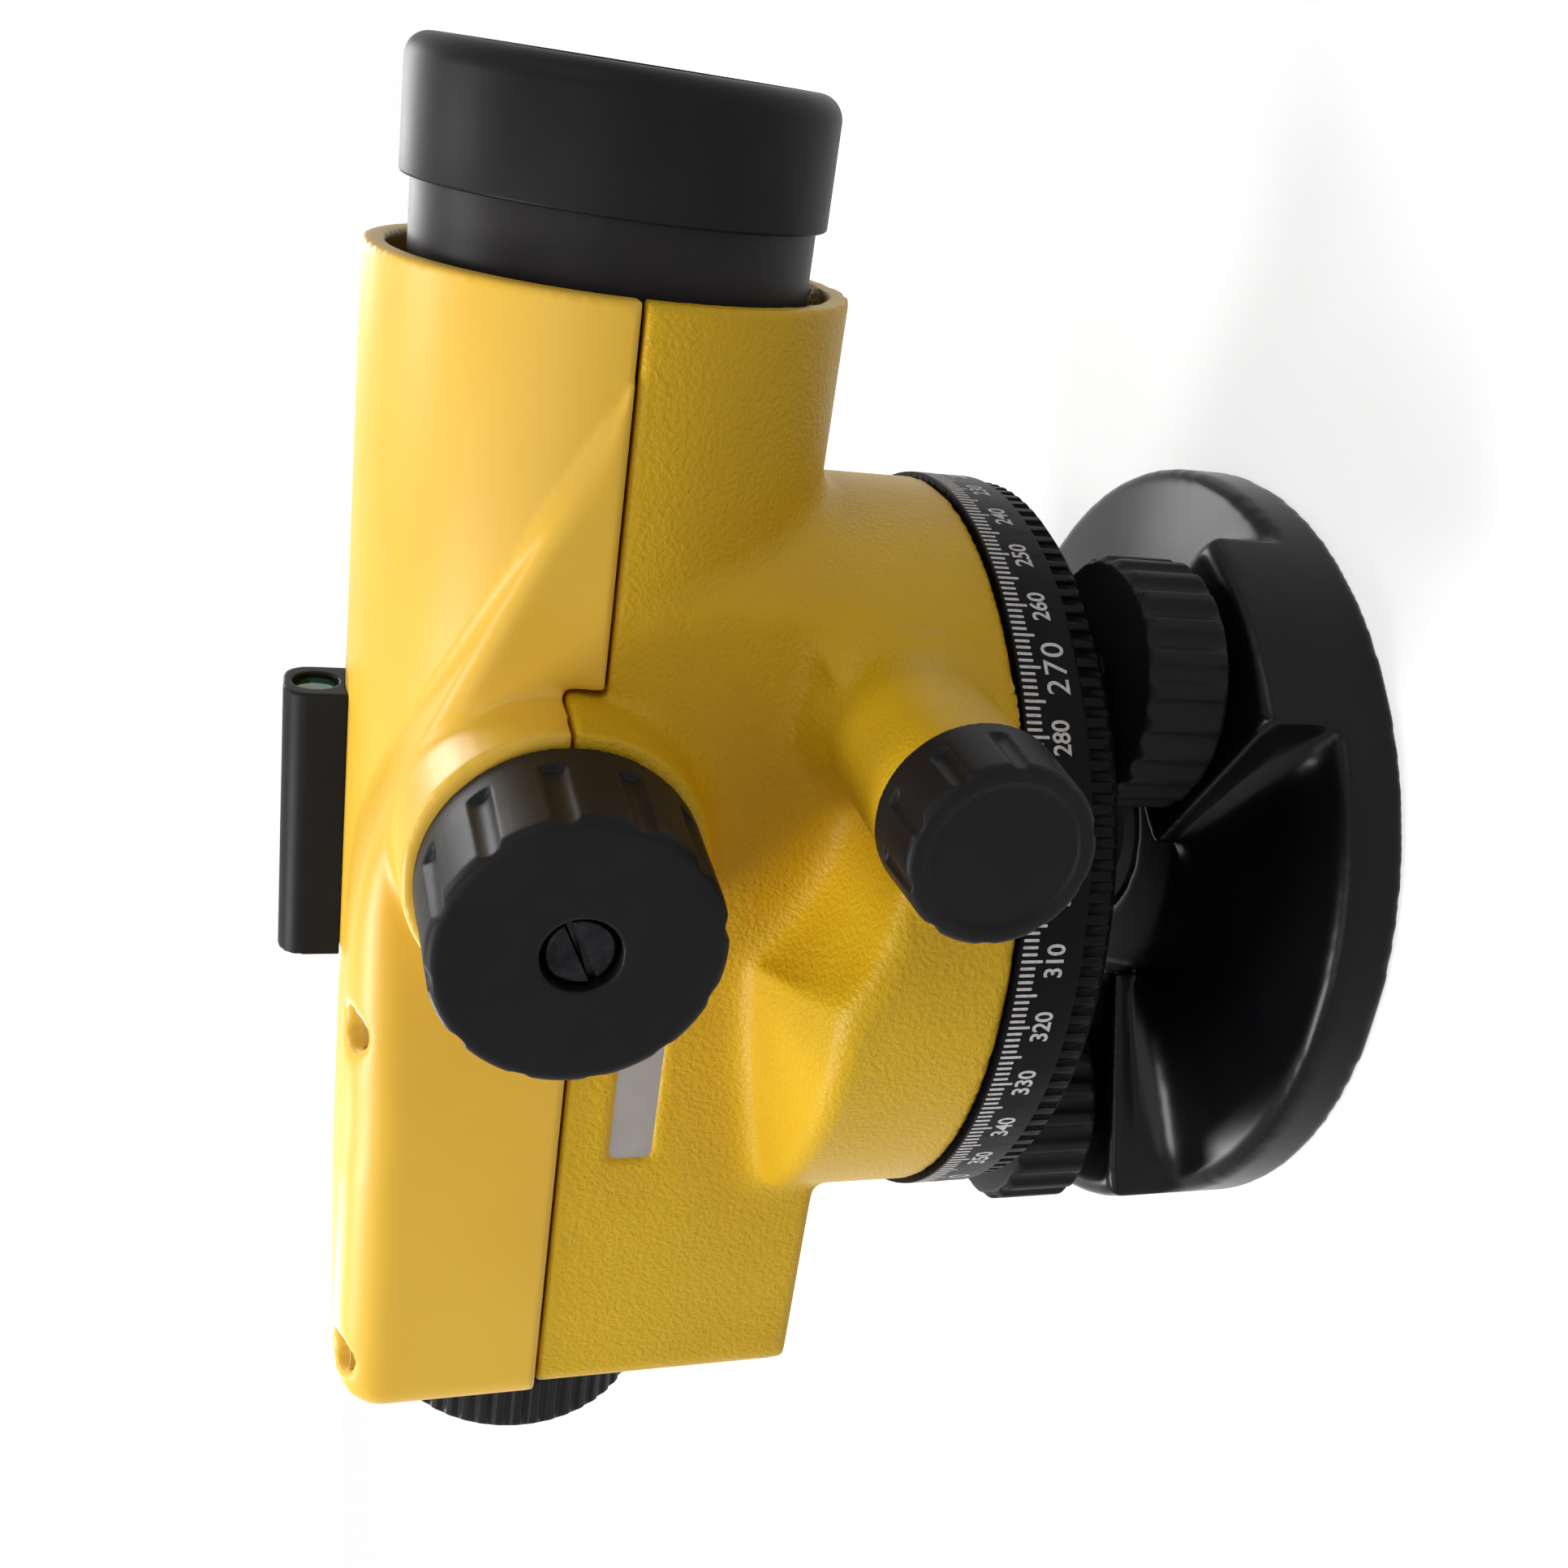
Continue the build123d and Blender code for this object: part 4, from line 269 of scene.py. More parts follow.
def pebbledYellowCoat():
    # Textured powder coat on cast aluminium: sprayed and baked, so it dries in fine soft pebbles
    material, tree, shader, place = newMaterial(
        "pebbled_yellow_powder_coat", {"Roughness": 0.42, "Specular IOR Level": 0.26})
    mottle(tree, shader, place, "CFA314", "D9AF1C", spread=30)
    grain(tree, shader, place, width=0.6, depth=0.22, detail=2.5, strength=1.0)
    handled(tree, shader, place, 0.38, 0.5, spread=25)
    return material


def satinYellowPlastic():
    # Moulded ABS with a satin spark-eroded skin: even colour and a soft wide highlight
    material, tree, shader, place = newMaterial(
        "satin_yellow_abs", {"Roughness": 0.4, "Specular IOR Level": 0.4})
    mottle(tree, shader, place, "E0B133", "E7B93B", spread=40)
    grain(tree, shader, place, width=0.4, depth=0.008)
    handled(tree, shader, place, 0.36, 0.46, spread=30)
    return material


def satinBlackPlastic():
    # Moulded glass-filled nylon: charcoal, satin, with a fine skin that greys where light grazes it
    material, tree, shader, place = newMaterial(
        "satin_black_nylon", {"Roughness": 0.42, "Specular IOR Level": 0.11})
    mottle(tree, shader, place, "111012", "181718", spread=12)
    grain(tree, shader, place, width=0.3, depth=0.012, detail=3.0, fineness=0.6, strength=0.6)
    handled(tree, shader, place, 0.4, 0.52, spread=9)
    return material


def circlePlastic():
    # Moulded polycarbonate ring, near black and a little smoother than the knobs
    material, tree, shader, place = newMaterial(
        "black_polycarbonate", {"Roughness": 0.4, "Specular IOR Level": 0.06})
    mottle(tree, shader, place, "08070A", "0D0C10", spread=10)
    grain(tree, shader, place, width=0.35, depth=0.006)
    handled(tree, shader, place, 0.36, 0.46, spread=8)
    return material


def glossBlackEnamel():
    # Stoved enamel on a cast alloy base: deep black, glossy, with a faint orange peel from spraying
    material, tree, shader, place = newMaterial(
        "gloss_black_enamel", {"Roughness": 0.24, "Specular IOR Level": 0.15})
    mottle(tree, shader, place, "070709", "0B0B0D", spread=25)
    grain(tree, shader, place, width=2.2, depth=0.02, detail=1.5, fineness=0.4, strength=0.35)
    handled(tree, shader, place, 0.22, 0.3, spread=18)
    return material


def blackAnodised():
    # Turned aluminium, bead blasted and anodised black: matt with a metallic lift at grazing angles
    material, tree, shader, place = newMaterial(
        "black_anodised_aluminium", {"Metallic": 0.1, "Roughness": 0.44, "Specular IOR Level": 0.15})
    mottle(tree, shader, place, "1A1818", "221F1F", spread=9)
    grain(tree, shader, place, width=0.15, depth=0.008, fineness=0.6)
    handled(tree, shader, place, 0.42, 0.52, spread=7)
    return material


def softRubber():
    # Moulded rubber: matt black with a dusty bloom in patches
    material, tree, shader, place = newMaterial(
        "moulded_rubber", {"Roughness": 0.75, "Specular IOR Level": 0.3})
    mottle(tree, shader, place, "121111", "1A1919", spread=6)
    grain(tree, shader, place, width=0.25, depth=0.015, detail=3.0, fineness=0.6, strength=0.6)
    return material


def whitePrint():
    # Screen-printed white ink: slightly grey, with ragged thin spots
    material, tree, shader, place = newMaterial("white_printing_ink", {"Roughness": 0.6, "IOR": 1.5})
    mottle(tree, shader, place, "BDB9B8", "DAD7D5", spread=0.48)
    grain(tree, shader, place, width=0.12, depth=0.004)
    return material


def brushedPlate():
    # Aluminium sheet brushed along its length: fine lines that stretch the highlight
    material, tree, shader, place = newMaterial(
        "brushed_aluminium_sheet", {"Metallic": 0.8, "Roughness": 0.5})
    mottle(tree, shader, place, "8B8480", "948D89", spread=9)
    stretch = addNode(tree, "ShaderNodeMapping", {"Scale": (0.02, 1, 1)}, {"Vector": place})
    grain(tree, shader, stretch.outputs[0], width=0.08, depth=0.003)
    handled(tree, shader, place, 0.44, 0.54, spread=6)
    return material


def oiledSteel():
    # Blackened steel screws and shafts: turned, then oiled
    material, tree, shader, place = newMaterial("oiled_black_steel", {"Metallic": 1.0, "Roughness": 0.35})
    mottle(tree, shader, place, "19181A", "272628", spread=2)
    grain(tree, shader, place, width=0.2, depth=0.004, detail=3.0)
    return material


def turnedBrass():
    # Lathe-turned brass, a little dulled
    material, tree, shader, place = newMaterial("turned_brass", {"Metallic": 1.0, "Roughness": 0.3})
    mottle(tree, shader, place, "A8843C", "BC9648", spread=5)
    grain(tree, shader, place, width=0.15, depth=0.004)
    return material


def blackenedBrass():
    # Brass dipped in a blackening bath: dark brown with a dull metallic sheen
    material, tree, shader, place = newMaterial("blackened_brass", {"Metallic": 0.8, "Roughness": 0.55})
    mottle(tree, shader, place, "1B1816", "27221D", spread=4)
    grain(tree, shader, place, width=0.4, depth=0.004)
    return material


def rawCasting():
    # Die-cast aluminium as it leaves the mould: dull grey with a fine sandy skin
    material, tree, shader, place = newMaterial("raw_aluminium_casting", {"Metallic": 0.9, "Roughness": 0.55})
    mottle(tree, shader, place, "8C8C8F", "A2A2A5", spread=12)
    grain(tree, shader, place, width=0.5, depth=0.02, detail=3.0, strength=0.6)
    return material


def coatedGlass():
    # Polished optical glass with a magnesium fluoride coating: dark, with a blue-green bloom
    material, tree, shader, place = newMaterial(
        "coated_optical_glass",
        {"Roughness": 0.02, "IOR": 1.52, "Transmission Weight": 0.97, "Coat Weight": 0.5,
         "Coat Roughness": 0.04, "Coat Tint": (0.45, 0.75, 0.6, 1)})
    mottle(tree, shader, place, "86A8A0", "93B4AA", spread=15)
    return material


def vialGlass():
    # Ground glass vial filled with tinted spirit: yellow-green, a printed ring and a pale bubble
    vialReach, ringRadius, ringWidth, bubbleRadius, bubbleEdge = 4, 2.7, 0.25, 2.1, 0.15
    material, tree, shader, place = newMaterial(
        "filled_glass_vial",
        {"Roughness": 0.06, "IOR": 1.47, "Transmission Weight": 0.25, "Coat Weight": 0.6})
    centre = middle("level_vial")
    shifted = addNode(tree, "ShaderNodeMapping", {"Location": (-centre.x, -centre.y, 0), "Scale": (1, 1, 0)},
                      {"Vector": place})
    reach = addNode(tree, "ShaderNodeVectorMath", {"operation": "LENGTH"}, {0: shifted.outputs[0]})
    share = addNode(tree, "ShaderNodeMapRange", {"From Max": vialReach * mm}, {"Value": reach.outputs["Value"]})
    bands = addNode(tree, "ShaderNodeValToRGB", links={"Fac": share.outputs[0]})
    bands.color_ramp.interpolation = "CONSTANT"
    bands.color_ramp.elements[0].color = linear("E9EFC9")
    bands.color_ramp.elements[1].position = (bubbleRadius - bubbleEdge) / vialReach
    bands.color_ramp.elements[1].color = linear("7C8A33")
    for radius, colour in (
            (bubbleRadius, "C3CF5A"), (ringRadius, "1D1D1B"), (ringRadius + ringWidth, "BAC84E")):
        bands.color_ramp.elements.new(radius / vialReach).color = linear(colour)
    tree.links.new(bands.outputs["Color"], shader.inputs["Base Color"])
    return material


def silveredGlass():
    # Back-silvered mirror glass with faint wiping marks
    material, tree, shader, place = newMaterial("silvered_mirror", {"Metallic": 1.0, "Roughness": 0.05})
    mottle(tree, shader, place, "D4D6D8", "DFE1E3", spread=8)
    handled(tree, shader, place, 0.03, 0.09, spread=5)
    return material


finishes = {
    "yellow_paint": pebbledYellowCoat(),
    "yellow_cover": satinYellowPlastic(),
    "black_plastic": satinBlackPlastic(),
    "circle_plastic": circlePlastic(),
    "black_enamel": glossBlackEnamel(),
    "black_anodised": blackAnodised(),
    "black_rubber": softRubber(),
    "bare_casting": rawCasting(),
    "dark_steel": oiledSteel(),
    "brass": turnedBrass(),
    "plate_metal": brushedPlate(),
    "lens_glass": coatedGlass(),
    "vial_glass": vialGlass(),
    "mirror_glass": silveredGlass(),
}
inkWhite = whitePrint()
nodeSlots = {row["node"]: row["material_slot"] for row in frame["record"]["subparts"]}
blackened = blackenedBrass()
for nodeName, node in frame["nodes"].items():
    for holder in node.material_slots:
        holder.material = blackened if nodeName == "tripod_bush" else finishes[nodeSlots[nodeName]]
print("materials ready")

# Places that several pieces share, in millimetres
lineOfSight = middle("objective_tube").z / mm
tubeRadius = 27.4        # the housing's tube around the objective
drumRadius = 47.8        # the drum over the graduated circle
snap = 0.12              # a point this near to a turned face is brought back onto it
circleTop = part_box("circle_ring")[1].z / mm
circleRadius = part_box("circle_ring")[1].x / mm

# Lower half of the housing: a casting whose drum, neck and bosses flow into each other
lowerBody = {"voxel": 0.6, "rounds": 3, "fillRounds": 110, "wearRounds": 6, "keep": 0.08, "scoopRounds": 60,
             "share": 0.6, "shoulderRadius": 46.4, "shoulderLow": 62.0, "shoulderHigh": 69.8,
             "shoulderFrom": -50, "shoulderTo": -16, "bossX": 26.7, "bossZ": 58.0, "bossRadius": 9.8,
             "bossOldRadius": 13.4, "bossTaper": 0.155, "bossTaperFrom": 39.6, "bossFrom": 27,
             "bossCore": 8.6, "bossReach": 21}


def blendWeight(point, normal):
    # 1 where the casting's forms flow into each other, falling to 0 where it was machined
    x, y, z = point
    plateClear = max(abs(x + 24) - 12, abs(z - 83.3) - 5) if y < 0 else 9      # the number plate's recess
    belowJoint = (90.0 - z) / 3                                                # the joint under the cover
    aboveRim = (z - 49.5) / 3                                                  # the drum's edge at the circle
    rearBox = (x + 58) / 6 if z > 60 else 1                                    # the box at the eyepiece
    inFront = (68 - x) / 4                                                     # the mouth of the tube
    bossTip = (50 - abs(y)) / 1.5 if x > 12 and z < 72 else 1                  # the faces under the drive knobs
    levelPad = 1 if y < 27.6 else (sqrt((x + 8) ** 2 + (y - 37.2) ** 2) - 9.6) / 1.5
    ledge = 0.2 if x < -3 and y < -29 and z > 60 else 1                        # the drum's shelf stays firmer
    nose = 0.25 if x > 24 and y < -20 and 64 < z < 73 and sqrt(x * x + y * y) > 38 else 1
    return max(0, min(ledge, nose, belowJoint, aboveRim, rearBox, inFront, bossTip, plateClear / 2, levelPad))


def bossDistance(x, z):
    return sqrt((x - lowerBody["bossX"]) ** 2 + (z - lowerBody["bossZ"]) ** 2)


def scoopWeight(point, normal):
    # the hollow behind the drive boss and the front of the drum's shoulder are rounded most
    x, y, z = point
    reach = sqrt(x * x + y * y)
    clearOfBoss = (bossDistance(x, z) - 11) / 3
    hollow = min((x + 3) / 5, (26 - x) / 5, (-27 - y) / 2, (z - 52) / 4, (82 - z) / 4, clearOfBoss)
    front = min((x - 35) / 5, (56 - x) / 4, (z - 62) / 3, (80 - z) / 4, (reach - 36) / 5, clearOfBoss)
    return max(0, hollow, front)


def slimBosses(piece):
    # the drive bosses are hardly wider than their knobs
    slim, core, reach = lowerBody["bossRadius"], lowerBody["bossCore"], lowerBody["bossReach"]
    moves = []
    for vertex in piece.data.vertices:
        x, y, z = vertex.co / mm
        away = bossDistance(x, z)
        onDrum = z < 50 and sqrt(x * x + y * y) < drumRadius + 0.4
        if abs(y) < lowerBody["bossFrom"] or away < core or away > reach or onDrum:
            continue
        old = lowerBody["bossOldRadius"] - max(0, abs(y) - lowerBody["bossTaperFrom"]) * lowerBody["bossTaper"]
        if away < old:
            target = core + (away - core) * (slim - core) / (old - core)
        else:
            share = (away - old) / (reach - old)
            target = away - (old - slim) * (1 - share) ** 2
        share = min((abs(y) - lowerBody["bossFrom"]) / 5, 1)
        scale = (away + (target - away) * share) / away
        place = Vector((lowerBody["bossX"] + (x - lowerBody["bossX"]) * scale, y,
                        lowerBody["bossZ"] + (z - lowerBody["bossZ"]) * scale))
        moves.append((vertex, place * mm))
    for vertex, place in moves:
        vertex.co = place
    piece.data.update()


def outsideShoulder(point, normal):
    # everywhere but on the added shoulder, the copy is drawn back onto the node
    x, y, z = point
    near = x > 24 and y < -4 and 63 < z < 72 and 30 < sqrt(x * x + y * y) < 47.5
    return 0 if near else 1


def shoulderLump():
    # the drum's wall stands higher in front of the drive boss: a sector of a disc
    clearSelection()
    height = (lowerBody["shoulderHigh"] - lowerBody["shoulderLow"]) * mm
    bpy.ops.mesh.primitive_cylinder_add(
        vertices=200, radius=lowerBody["shoulderRadius"] * mm, depth=height,
        location=(0, 0, lowerBody["shoulderLow"] * mm + height / 2))
    lump = bpy.context.object
    settle(lump)
    bpy.ops.object.mode_set(mode="EDIT")
    for angle, side in ((lowerBody["shoulderFrom"], 1), (lowerBody["shoulderTo"], -1)):
        bpy.ops.mesh.select_all(action="SELECT")
        direction = (-sin(radians(angle)) * side, cos(radians(angle)) * side, 0)
        bpy.ops.mesh.bisect(plane_co=(0, 0, 0), plane_no=direction, use_fill=True, clear_inner=True)
    bpy.ops.mesh.select_all(action="SELECT")
    bpy.ops.mesh.normals_make_consistent(inside=False)
    bpy.ops.object.mode_set(mode="OBJECT")
    return lump


casting = softCopy("lower_body", "lowerHousing", lowerBody, [shoulderLump()], outsideShoulder)
slimBosses(casting)
weigh(casting, "blend", blendWeight)
fillCorners(casting, lowerBody["fillRounds"], "blend", lowerBody["keep"])
weigh(casting, "scoop", scoopWeight)
addModifier(casting, "SMOOTH", factor=0.5, iterations=lowerBody["scoopRounds"], vertex_group="scoop")
addModifier(casting, "SMOOTH", factor=0.5, iterations=lowerBody["wearRounds"], vertex_group="blend")
addModifier(casting, "DECIMATE", ratio=lowerBody["share"])
trueRadius(casting, (0, 0, 0), (0, 0, 1), drumRadius, snap)
trueRadius(casting, (0, 0, lineOfSight), (1, 0, 0), tubeRadius, snap)
smoothShade(casting, 60)
fit(casting, "alidade", finishes["yellow_paint"], ["lower_body"])
print("lower housing:", len(casting.data.polygons), "faces")

# Upper half of the housing
upperCover = {"voxel": 0.5, "rounds": 4, "fillRounds": 34, "keep": 0.1, "tipRounds": 70, "pocketRounds": 24,
              "share": 0.62, "pockets": ((-64.2, 23.8), (-15.5, 23.8))}


def coverWeight(point, normal):
    # only the right side's crest is blended, clear of the joint and the mouth
    x, y, z = point
    aboveJoint = (z - 93.6) / 2
    inFront = (68 - x) / 4
    fromRear = (x + 12) / 4
    return max(0, min(aboveJoint, inFront, fromRear, 1 if y < 0 else 0))


def crestTip(point, normal):
    # the crest runs out softly towards the mouth
    x, y, z = point
    return max(0, min((x - 44) / 6, (66 - x) / 3, (z - 93.8) / 2, 1)) if y < -20 else 0


def nearPocket(point, normal):
    # the rims of the four screw pockets are moulded round
    x, y, z = point
    away = min(sqrt((x - px) ** 2 + (abs(y) - py) ** 2) for px, py in upperCover["pockets"])
    return (6 - away) / 2 if z > 96 else 0


def nearJoint(point, normal):
    # the skirt at the joint keeps the node's exact shape
    return (95 - point.z) / 1.5


cover = softCopy("top_cover", "upperCover", upperCover, (), nearJoint)
weigh(cover, "blend", coverWeight)
fillCorners(cover, upperCover["fillRounds"], "blend", upperCover["keep"])
weigh(cover, "tip", crestTip)
addModifier(cover, "SMOOTH", factor=0.5, iterations=upperCover["tipRounds"], vertex_group="tip")
weigh(cover, "pocket", nearPocket)
addModifier(cover, "SMOOTH", factor=0.5, iterations=upperCover["pocketRounds"], vertex_group="pocket")
addModifier(cover, "DECIMATE", ratio=upperCover["share"])
trueRadius(cover, (0, 0, lineOfSight), (1, 0, 0), tubeRadius, snap)
smoothShade(cover, 60)
fit(cover, "alidade", finishes["yellow_cover"], ["top_cover"])
print("upper cover:", len(cover.data.polygons), "faces")

# Objective tube and hood, turned on the line of sight
objective = {"tubeRadius": 22.6, "bore": 20.6, "hoodRadius": 23.8, "lip": 20.4, "mouthEdge": 2.8,
             "wallEdge": 0.35, "clearance": 0.02, "hoodSegments": 192}
tubeLow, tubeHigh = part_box("objective_tube")
hoodLow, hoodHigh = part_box("objective_hood")
rear, front = tubeLow.x / mm, tubeHigh.x / mm
barrel = turned("objectiveBarrel", (0, 0, lineOfSight), 0, [
    (rear, objective["bore"]), (rear, objective["tubeRadius"]), (front, objective["tubeRadius"]),
    (front, objective["bore"]), (rear, objective["bore"])])
roundEdges(barrel, objective["wallEdge"])
smoothShade(barrel)
fit(barrel, "alidade", finishes["black_anodised"], ["objective_tube"])

hoodRear, hoodFront = hoodLow.x / mm, hoodHigh.x / mm
mouth = objective["mouthEdge"]
inner = objective["tubeRadius"] + objective["clearance"]
arcPoints = [(hoodFront - mouth + mouth * sin(radians(angle)),
              objective["hoodRadius"] - mouth + mouth * cos(radians(angle))) for angle in range(0, 91, 10)]
hood = turned("objectiveHood", (0, 0, lineOfSight), 0, [
    (hoodRear, inner), (hoodRear, objective["hoodRadius"])] + arcPoints + [
    (hoodFront, objective["lip"]), (front, objective["lip"]), (front, inner), (hoodRear, inner)],
    objective["hoodSegments"])
roundEdges(hood, objective["wallEdge"])
smoothShade(hood)
fit(hood, "alidade", finishes["black_plastic"], ["objective_hood"])
print("objective ready")

# Graduated circle: the CAD ring, with ticks and numbers printed on it as thin ink
circle = {"tickTop": 0.3, "tick": 1.85, "longTick": 2.65, "tickWidth": 0.36, "tickRound": 0.12, "ink": 0.03,
          "numberTop": 3.25, "capitalShare": 0.72, "zeroAngle": 228.0}
plainNumber = {"height": 2.2, "thicken": 0.055, "gap": 0.98, "squeeze": 0.93}
quarterNumber = {"height": 2.9, "thicken": 0.015, "gap": 1.12, "squeeze": 1.05}
ring = meshCopy("circle_ring", "graduatedCircle")
machinedShade(ring)
fit(ring, "circle", finishes["circle_plastic"], ["circle_ring"])


def tickUnit():
    # ten degrees of ticks, each a thin bar with its corners rounded, facing the +X side
    bars = []
    for degree in range(10):
        length = circle["longTick"] if degree % 5 == 0 else circle["tick"]
        clearSelection()
        bpy.ops.mesh.primitive_cube_add(size=1, location=(0, 0, 0))
        bar = bpy.context.object
        bar.scale = (circle["ink"] * mm * 2, circle["tickWidth"] * mm, length * mm)
        bpy.ops.object.transform_apply(location=False, rotation=False, scale=True)
        bpy.ops.object.mode_set(mode="EDIT")
        bpy.ops.mesh.select_all(action="DESELECT")
        edit = bmesh.from_edit_mesh(bar.data)
        for edge in edit.edges:
            ends = [v.co for v in edge.verts]
            edge.select = abs(ends[0].x - ends[1].x) > circle["ink"] * mm
        bmesh.update_edit_mesh(bar.data)
        bpy.ops.mesh.bevel(offset=circle["tickRound"] * mm, segments=2)
        bpy.ops.object.mode_set(mode="OBJECT")
        turn = Matrix.Rotation(radians(circle["zeroAngle"] - degree), 4, "Z")
        bar.data.transform(turn @ Matrix.Translation(
            (circleRadius * mm, 0, (circleTop - circle["tickTop"] - length / 2) * mm)))
        bars.append(bar)
    clearSelection()
    for bar in bars:
        bar.select_set(True)
    bpy.context.view_layer.objects.active = bars[0]
    bpy.ops.object.join()
    return bpy.context.object


ticks = tickUnit()
ticks.name = "circleTicks"
bpy.ops.object.mode_set(mode="EDIT")
bpy.ops.mesh.select_all(action="SELECT")
bpy.ops.mesh.spin(steps=35, dupli=True, angle=radians(350), center=(0, 0, 0), axis=(0, 0, 1))
bpy.ops.mesh.select_all(action="SELECT")
bpy.ops.mesh.normals_make_consistent(inside=False)
bpy.ops.object.mode_set(mode="OBJECT")
fit(ticks, "circle", inkWhite)

numbers = []
for label in range(0, 360, 10):
    style = plainNumber if label % 90 else quarterNumber
    height = style["height"]
    clearSelection()
    bpy.ops.object.text_add(location=(0, 0, 0))
    digits = bpy.context.object
    digits.data.body = str(label)
    digits.data.size = height * mm / circle["capitalShare"]
    digits.data.align_x = "CENTER"
    digits.data.offset = style["thicken"] * mm
    digits.data.space_character = style["gap"]
    digits.data.extrude = circle["ink"] * mm / 2
    digits.data.resolution_u = 4
    bpy.ops.object.convert(target="MESH")
    digits = bpy.context.object
    base = circleTop - circle["numberTop"] - height
    angle = radians(circle["zeroAngle"] - label)
    for vertex in digits.data.vertices:
        along, up, out = vertex.co
        turn = angle + along * style["squeeze"] / (circleRadius * mm)
        reach = circleRadius * mm + out + circle["ink"] * mm / 2
        vertex.co = (reach * cos(turn), reach * sin(turn), base * mm + up)
    numbers.append(digits)
clearSelection()
for digits in numbers:
    digits.select_set(True)
bpy.context.view_layer.objects.active = numbers[0]
bpy.ops.object.join()
scaleNumbers = bpy.context.object
scaleNumbers.name = "circleNumbers"
fit(scaleNumbers, "circle", inkWhite)
print("circle ready")

# Base plate, head and footscrews
basePlate = {"voxel": 0.6, "rounds": 6, "dishRounds": 320, "dishKeep": 0.1, "rimRounds": 26, "rimRadius": 52.0,
             "rimSnap": 0.6, "edgeRounds": 6}
plate = softCopy("base_plate", "basePlate", basePlate)


def rimWeight(point, normal):
    # the outer edge is rounded, hardly at all where the plate stands on its lower face
    reach = sqrt(point.x ** 2 + point.y ** 2)
    return (reach - 49.0) / 2 * (1 if point.z > 2 else 0.25)


def dishWeight(point, normal):
    # the hollows between the hub and the rim
    reach = sqrt(point.x ** 2 + point.y ** 2)
    return min((point.z - 4) / 2, (50 - reach) / 2, (reach - 23) / 3)


weigh(plate, "dish", dishWeight)
fillCorners(plate, basePlate["dishRounds"], "dish", basePlate["dishKeep"])
weigh(plate, "rim", rimWeight)
addModifier(plate, "SMOOTH", factor=0.5, iterations=basePlate["rimRounds"], vertex_group="rim")
truePlane(plate, 2, 0, 0.1)
trueRadius(plate, (0, 0, 0), (0, 0, 1), basePlate["rimRadius"], basePlate["rimSnap"])
addModifier(plate, "SMOOTH", factor=0.5, iterations=basePlate["edgeRounds"], vertex_group="rim")
smoothShade(plate, 60)
fit(plate, "base", finishes["black_enamel"], ["base_plate"])

head = meshCopy("levelling_head", "levellingHead")
machinedShade(head)
fit(head, "levelling_head", finishes["black_enamel"], ["levelling_head"])

footscrew = {"voxel": 0.3, "rounds": 4}
for screwName in ("footscrew_front_right", "footscrew_rear_right", "footscrew_left"):
    knob = softCopy(screwName, screwName + "_knob", footscrew)
    smoothShade(knob, 60)
    fit(knob, screwName, finishes["black_plastic"], [screwName])
print("base ready")

# Focus knob and drive knobs
focusKnob = {"voxel": 0.24, "rounds": 5}
knob = softCopy("focus_knob", "focusKnob", focusKnob)
smoothShade(knob, 60)
fit(knob, "focus_drive", finishes["black_plastic"], ["focus_knob"])
driveKnob = {"voxel": 0.2, "rounds": 5}
for nodeName in ("drive_knob_right", "drive_knob_left"):
    knob = softCopy(nodeName, nodeName + "_cap", driveKnob)
    smoothShade(knob, 60)
    fit(knob, "horizontal_drive", finishes["black_plastic"], [nodeName])
knobScrew = meshCopy("focus_knob_screw", "focusKnobScrew")
machinedShade(knobScrew)
fit(knobScrew, "focus_drive", finishes["dark_steel"], ["focus_knob_screw"])
print("knobs ready")

# Eyepiece end
dioptreRing = {"voxel": 0.22, "rounds": 3}
ribbed = softCopy("dioptre_ring", "dioptreRing", dioptreRing)
smoothShade(ribbed, 60)
fit(ribbed, "dioptre", finishes["black_plastic"], ["dioptre_ring"])
for nodeName, pieceName, body, slotName in (
        ("eye_guard", "eyeGuard", "dioptre", "black_rubber"),
        ("eyepiece_tube", "eyepieceTube", "alidade", "black_anodised")):
    piece = meshCopy(nodeName, pieceName)
    machinedShade(piece)
    fit(piece, body, finishes[slotName], [nodeName])

# Sight, mirror box and level
sight = {"voxel": 0.2, "rounds": 4}
sightBox = softCopy("sight_body", "sightBody", sight)
smoothShade(sightBox, 60)
fit(sightBox, "alidade", finishes["black_plastic"], ["sight_body"])
mirrorBox = {"voxel": 0.26, "rounds": 4}
housing = softCopy("mirror_box", "mirrorBox", mirrorBox)
smoothShade(housing, 60)
fit(housing, "alidade", finishes["black_plastic"], ["mirror_box"])
for nodeName, pieceName, slotName in (
        ("level_housing", "levelHousing", "black_anodised"),
        ("level_vial", "levelVial", "vial_glass"),
        ("cover_screws", "coverScrews", "brass"),
        ("number_plate", "numberPlate", "plate_metal")):
    piece = meshCopy(nodeName, pieceName)
    machinedShade(piece)
    fit(piece, "alidade", finishes[slotName], [nodeName])
print("small pieces ready")

# Floor, world, lamps and camera
stage = {"floorSize": 8000, "paper": 0.5, "nearGlow": 0.68, "farGlow": 0.93, "glowFrom": 150, "glowTo": 600,
         "worldLevel": 0.13, "aim": (0, 0, 70)}
clearSelection()
bpy.ops.mesh.primitive_plane_add(size=stage["floorSize"] * mm, location=(0, 0, 0))
floor = bpy.context.object
floor.name = "floor"


